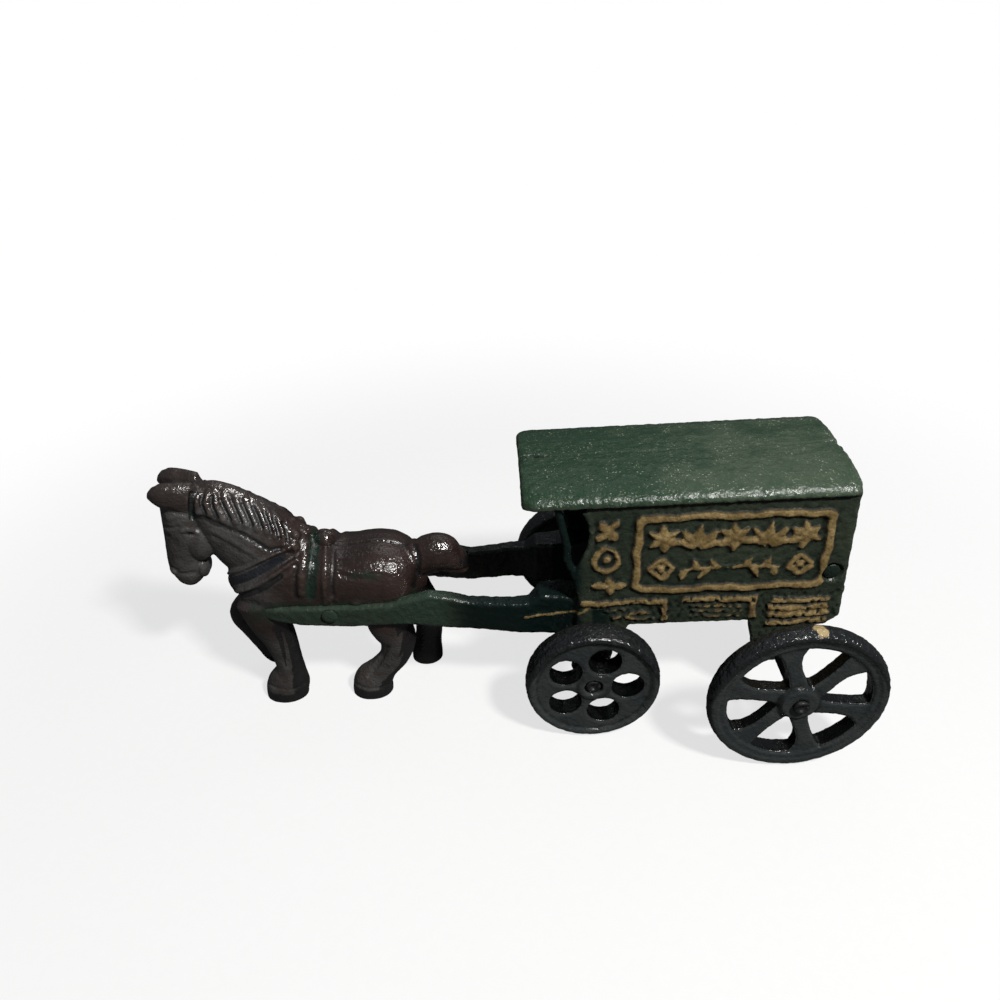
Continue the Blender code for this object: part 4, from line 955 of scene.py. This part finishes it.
def paint_body(s):
    """Masks of the tan relief and its outline, the roof, the shafts, and painted shade inside, under the
    roof, in the seam's ends and round the driver's place.
    """
    s.paint_wear(rounds=14)
    wall = rise(-s.z, -74.6, -74) * (s.z > WALL_BOTTOM_Z) * (s.out > WALL_INNER_Y)
    raised = rise(s.out, 19.78, 20.05) * wall * (s.x > -4.5) * (1 - 0.5 * dents_at(s.x, s.z))
    scrap = (s.z < 41.4) & (s.x > 1) & (s.x < 48)
    bar = (np.abs(s.x - BARS_X[0]) < BAR_HALF) | (np.abs(s.x - BARS_X[1]) < BAR_HALF)
    beaded = band(s.along([(x, z) for x, _, z in BEAD]), 0.45, 0.3) * (s.out > 14.5) * (s.x < -0.2)
    s.paint("tan", most(raised * np.where(scrap & ~bar, 0.72, 1), 0.56 * beaded))
    s.paint("scrap", raised * scrap)
    slope = rise(np.hypot(s.nx, s.nz), 0.3, 0.65)
    s.paint("outline", slope * wall * (s.x > 0.5) * rise(s.out, 19.3, 19.6) * rise(-s.out, -20.35, -20.1))
    s.paint("roof", rise(s.z, 74.9, 76.4) * rise(s.nz, -0.1, 0.35))
    s.paint("spray", rise(-s.x, 36, 44) * (0.55 + 0.45 * bump(np.abs(s.x + 48), 12)))
    s.paint("inner", 0.85 * ((s.ny * s.side < -0.3) & (s.x < -34)))
    inside = (s.out < 17.6) & (s.z < 77.6) & (s.x > -3) & (s.x < 66.8)
    under_roof = (s.z > 73.5) & (s.nz < -0.5)
    # the front post's edge and the far shaft get less of the painted shade
    post_edge = band(s.along(POST_EDGE), 0.25, 0.5) * (s.out > 16)
    post_edge *= 0.35 + 0.65 * rise(np.sin(1.7 * s.z) * np.sin(2.9 * s.z + s.x), -0.3, 0.4)
    far_shaft = (s.y > 0) & (s.x < -9) & (s.ny < -0.3)
    front_works = rise(-s.x, 1.5, 4.5) * rise(s.x, -44, -34) * (s.z < 74.2)
    seam_ends = band(np.abs(s.y - wander_at(s.x)), 0.4, 0.4) * (s.z > 76)
    seam_ends *= np.minimum(notch_at(s.x) * 1.2, 1)
    # painted shade: the inside, the roof's underside, the open ends of the roof's seam, the driver's place,
    # the dimple round the rear rivet and the foot of the front wall
    s.paint("dark", most(
        inside, under_roof, seam_ends,
        front_works * (1 - 0.9 * post_edge) * (1 - 0.75 * far_shaft),
        0.6 * bump(np.hypot(s.x - RIVET_X, s.z - RIVET_Z), 3.2) * (s.out > 18),
        0.85 * wall * (s.z < 40.4) * rise(-s.x, -7, -3) * (s.x > 0)))


def build_body():
    pieces = [copy_node("body_half_left"), copy_node("body_half_right"),
              slab((ROOF_FRONT + 1, -0.6, 77.2), (ROOF_REAR - 1.6, 0.6, 78.3)),
              slab((67.2, -0.6, 35.5), (68.6, 0.6, 78))]
    for side in (LEFT, RIGHT):
        face = side * (WALL_Y - 0.05)
        for stroke, radius in ornament_strokes():
            points = [(x, face, z, width) for x, z, width in stroke]
            pieces.append(tube(points, radius, flat=0.85))
        for x, z in (*STARS, *LOZENGES, OVAL, CROSS):
            pieces.append(ball(x, face, z, 1.3, 1.1, 1.3))
        for start, end, z, radius in SCRAPS:
            middle = (start + end) / 2
            points = [(start, face, z, 0.7), (middle, face, z + 0.35, 1.2), (end, face, z - 0.1, 0.8)]
            pieces.append(tube(points, radius, flat=0.8))
        pieces.append(tube([(x, side * y, z, 1) for x, y, z in BEAD], 0.42))
        points = [(x, side * (WALL_Y - 0.5), z, 1) for x, z in DRIVER_RIM]
        pieces.append(tube(points, 1.1, flat=0.75))
    body = fuse("carriage_body", pieces, voxel=0.42, smoothing=3)
    carve_body(Sculpt(body))
    roughen(body, size=2, strength=0.5, shift=0.021)
    hold(body)
    paint_body(Sculpt(body))
    return body


# A wheel: hub as a share of the radius, depth of the sunk web, rounding of the tread, and the spot of tan
HUB_SHARE, WEB_DEPTH, ROUNDING = 0.22, 0.35, 1.7
TAN_X, TAN_Y, TAN_REACH = 2.2, -40.4, 3.2


def round_treads(s, reach, radius, axle_x):
    """Round both edges of a tread between its face and its rim."""
    rim = reach > radius - ROUNDING - 0.3
    faces = s.y[rim].min(), s.y[rim].max()
    for face, way in zip(faces, (1, -1)):
        from_face = np.clip(ROUNDING - way * (s.y - face), 0, None)
        from_rim = np.clip(ROUNDING - (radius - reach), 0, None)
        spread = np.hypot(from_face, from_rim)
        excess = np.where((spread > ROUNDING) & rim, 1 - ROUNDING / np.maximum(spread, ROUNDING), 0)
        s.co[:, 1] += way * from_face * excess * MM
        inward = from_rim * excess / np.maximum(reach, 1)
        s.co[:, 0] -= inward * (s.x + FRONT_AXLE_X - axle_x) * MM
        s.co[:, 2] -= inward * (s.z - radius) * MM


def build_wheel(node, name, axle_x, radius, side):
    wheel = fuse(name, [copy_node(node)], voxel=0.36, smoothing=5)
    s = Sculpt(wheel)
    reach = np.hypot(s.x + FRONT_AXLE_X - axle_x, s.z - radius)
    hub = radius * HUB_SHARE
    low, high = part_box(node)
    outer = side * (s.co[:, 1] - (low.y + high.y) / 2) > 0
    web = outer * (np.abs(s.ny) > 0.5) * band(reach, radius - 3.2, 0.6)
    s.co[:, 1] -= side * web * rise(reach, hub, hub + 0.7) * WEB_DEPTH * MM
    round_treads(s, reach, radius, axle_x)
    s.done()
    roughen(wheel, size=1.8, strength=0.3, shift=axle_x * 0.001)
    s = Sculpt(wheel)
    tread = rise(reach, radius - 0.8, radius - 0.3)
    grains = np.sin(s.x * 5.1 + s.y * 2.3) * np.sin(s.y * 6.1 - s.z * 3.7) * np.sin(s.z * 4.9 + s.x * 1.7)
    s.push(tread * grains, 0.14)
    s.done()
    hold(wheel)
    s = Sculpt(wheel)
    s.paint_wear(rounds=14)
    # painted shade: near the top of the wheel the black of the tread reaches farther onto the face
    shade_at_top = 1.6 * rise(s.z, radius * 0.9, radius * 1.5)
    s.paint("tread", rise(reach, radius - 0.9 - shade_at_top, radius - 0.4 - shade_at_top))
    # painted shade on the walls of the holes and round the hub
    walls = (np.abs(s.ny) < 0.6) * band(reach, radius - 2.6, 0.6) * (reach > hub + 0.3)
    s.paint("dark", most(outer * bump(reach - hub - 0.2, 1.2) * 0.5, walls))
    spot = np.hypot(s.x + FRONT_AXLE_X - axle_x - TAN_X, (s.y - TAN_Y) * 0.8) / TAN_REACH
    s.paint("tan", bump(spot, 1) * (s.z > radius * 1.9) * (radius == REAR_RADIUS) * (s.y < 0))
    return wheel


def turned(profile, x, z, steps=36):
    """A solid of revolution about the Y line through x and z, from (radius, y) points from axis to axis."""
    shape = bmesh.new()
    rows = [[shape.verts.new((x + radius * math.cos(a), y, z + radius * math.sin(a)))
             for a in turns(steps if radius else 1)] for radius, y in profile]
    for row, following in zip(rows, rows[1:]):
        for k in range(steps):
            m = (k + 1) % steps
            corners = [row[k % len(row)], row[m % len(row)],
                       following[m % len(following)], following[k % len(following)]]
            shape.faces.new([corner for i, corner in enumerate(corners) if corner not in corners[:i]])
    return from_bmesh(shape)


def build_rivet(node, name):
    rivet = fuse(name, [copy_node(node)], voxel=0.2, smoothing=3)
    roughen(rivet, size=1.2, strength=0.12, shift=0.007)
    s = Sculpt(rivet)
    s.paint_wear(rounds=10, hollow=0.08)
    s.paint("spray", rise(-s.x, 36, 44) * 0.8)
    # painted shade on the rear rivet's head in its dimple
    s.paint("dark", (s.x > 0) * 0.6)
    return rivet


# A hammered end of an axle: share of the head's radius and depth below the tip in millimetres
AXLE_END = ((0, 0.75), (0.34, 0.75), (0.44, 0.2625), (0.6, 0.03), (0.82, 0.06), (0.97, 0.4), (1, 1))
ROD_RADIUS, HEAD_DEPTH = 1.55, 1.05


def build_axle(node, name, x, z):
    """A rod with hammered ends: a broken ring round a hollow middle."""
    low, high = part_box(node)
    radius = (high.z - low.z) / 2 - 0.05 * MM
    end = [(radius * share, high.y - depth * MM) for share, depth in AXLE_END]
    end.append((ROD_RADIUS * MM, high.y - HEAD_DEPTH * MM))
    other = [(r, high.y + low.y - y) for r, y in reversed(end)]
    axle = fuse(name, [turned(end + other, x * MM, z * MM)], voxel=0.2, smoothing=1)
    s = Sculpt(axle)
    along, up = s.x + FRONT_AXLE_X - x, s.z - z
    reach = np.hypot(up, along)
    at_end = (s.co[:, 1] > high.y - 0.6 * MM) | (s.co[:, 1] < low.y + 0.6 * MM)
    notch = bump(np.abs(np.arctan2(up, along) - 0.5), 0.6) * (reach > 0.6) * (reach < 2)
    s.push(notch * at_end * (np.abs(s.ny) > 0.4), -0.4)
    s.done()
    roughen(axle, size=1, strength=0.18, shift=x * 0.001)
    return axle


def build_camera():
    data = bpy.data.cameras.new("camera")
    data.sensor_width = SENSOR
    data.lens = FOCAL * SENSOR / (2 * CENTRE)
    data.clip_start = 0.005
    camera = add("camera", data)
    columns = (ACROSS, ABOVE, -AHEAD, CAMERA_PLACE)
    camera.matrix_world = Matrix([[column[i] for column in columns] for i in range(3)] + [[0, 0, 0, 1]])
    bpy.context.scene.camera = camera


def area_light(name, azimuth, elevation, distance, size, power, colour):
    """A soft lamp that shines on the toy; azimuth 0 is on the camera's side, 90 behind the carriage."""
    a, e = math.radians(azimuth), math.radians(elevation)
    target = Vector((0, 0, 0.03))
    way = Vector((math.sin(a) * math.cos(e), -math.cos(a) * math.cos(e), math.sin(e)))
    location = target + distance * way
    data = bpy.data.lights.new(name, "AREA")
    data.shape = "RECTANGLE"
    data.size, data.size_y = size
    data.energy = power
    data.color = colour
    light = add(name, data)
    light.location = location
    light.rotation_euler = (target - location).to_track_quat("-Z", "Y").to_euler()


def build_studio():
    shape = bmesh.new()
    bmesh.ops.create_grid(shape, x_segments=1, y_segments=1, size=2)
    floor = from_bmesh(shape, "floor")
    floor.data.materials.append(paper_material(0.13, 0.3))
    world = bpy.data.worlds.new("studio")
    bpy.context.scene.world = world
    world.use_nodes = True
    g = Graph(world.node_tree)
    room, white = g.lit("Background", ROOM, 0.1), g.lit("Background", WHITE)
    g.end("OutputWorld", g.node("LightPath").outputs["Is Camera Ray"], room, white)
    area_light("key", azimuth=38, elevation=52, distance=0.7, size=(0.08, 0.065), power=5.4,
               colour=(1, 0.985, 0.96))
    area_light("ceiling", azimuth=165, elevation=58, distance=0.8, size=(0.55, 0.35), power=0.5,
               colour=(0.97, 0.98, 1))
    bpy.context.scene.view_settings.view_transform = "Standard"


def dress(piece, made, body, slot, *nodes):
    piece.data.materials.append(made)
    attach(piece, body)
    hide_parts(*nodes)


build_camera()
build_studio()
green, brown, black, steel = body_material(), horse_material(), wheel_material(), steel_material()
dress(build_horse(), brown, "carriage", "horse_brown_enamel", "horse_half_left", "horse_half_right")
dress(build_body(), green, "carriage", "body_green_enamel", "body_half_left", "body_half_right")
for end, axle_x, radius in (("front", FRONT_AXLE_X, FRONT_RADIUS), ("rear", REAR_AXLE_X, REAR_RADIUS)):
    for hand, side in (("left", LEFT), ("right", RIGHT)):
        node = f"{end}_wheel_{hand}"
        wheel = build_wheel(node, f"{node}_cast", axle_x, radius, side)
        dress(wheel, black, node, "wheel_black_enamel", node)
    node = f"{end}_axle"
    dress(build_axle(node, f"{node}_peened", axle_x, radius), steel, node, "dark_steel", node)
for node in ("rear_rivet", "horse_rivet"):
    dress(build_rivet(node, f"{node}_painted"), green, "carriage", "body_green_enamel", node)
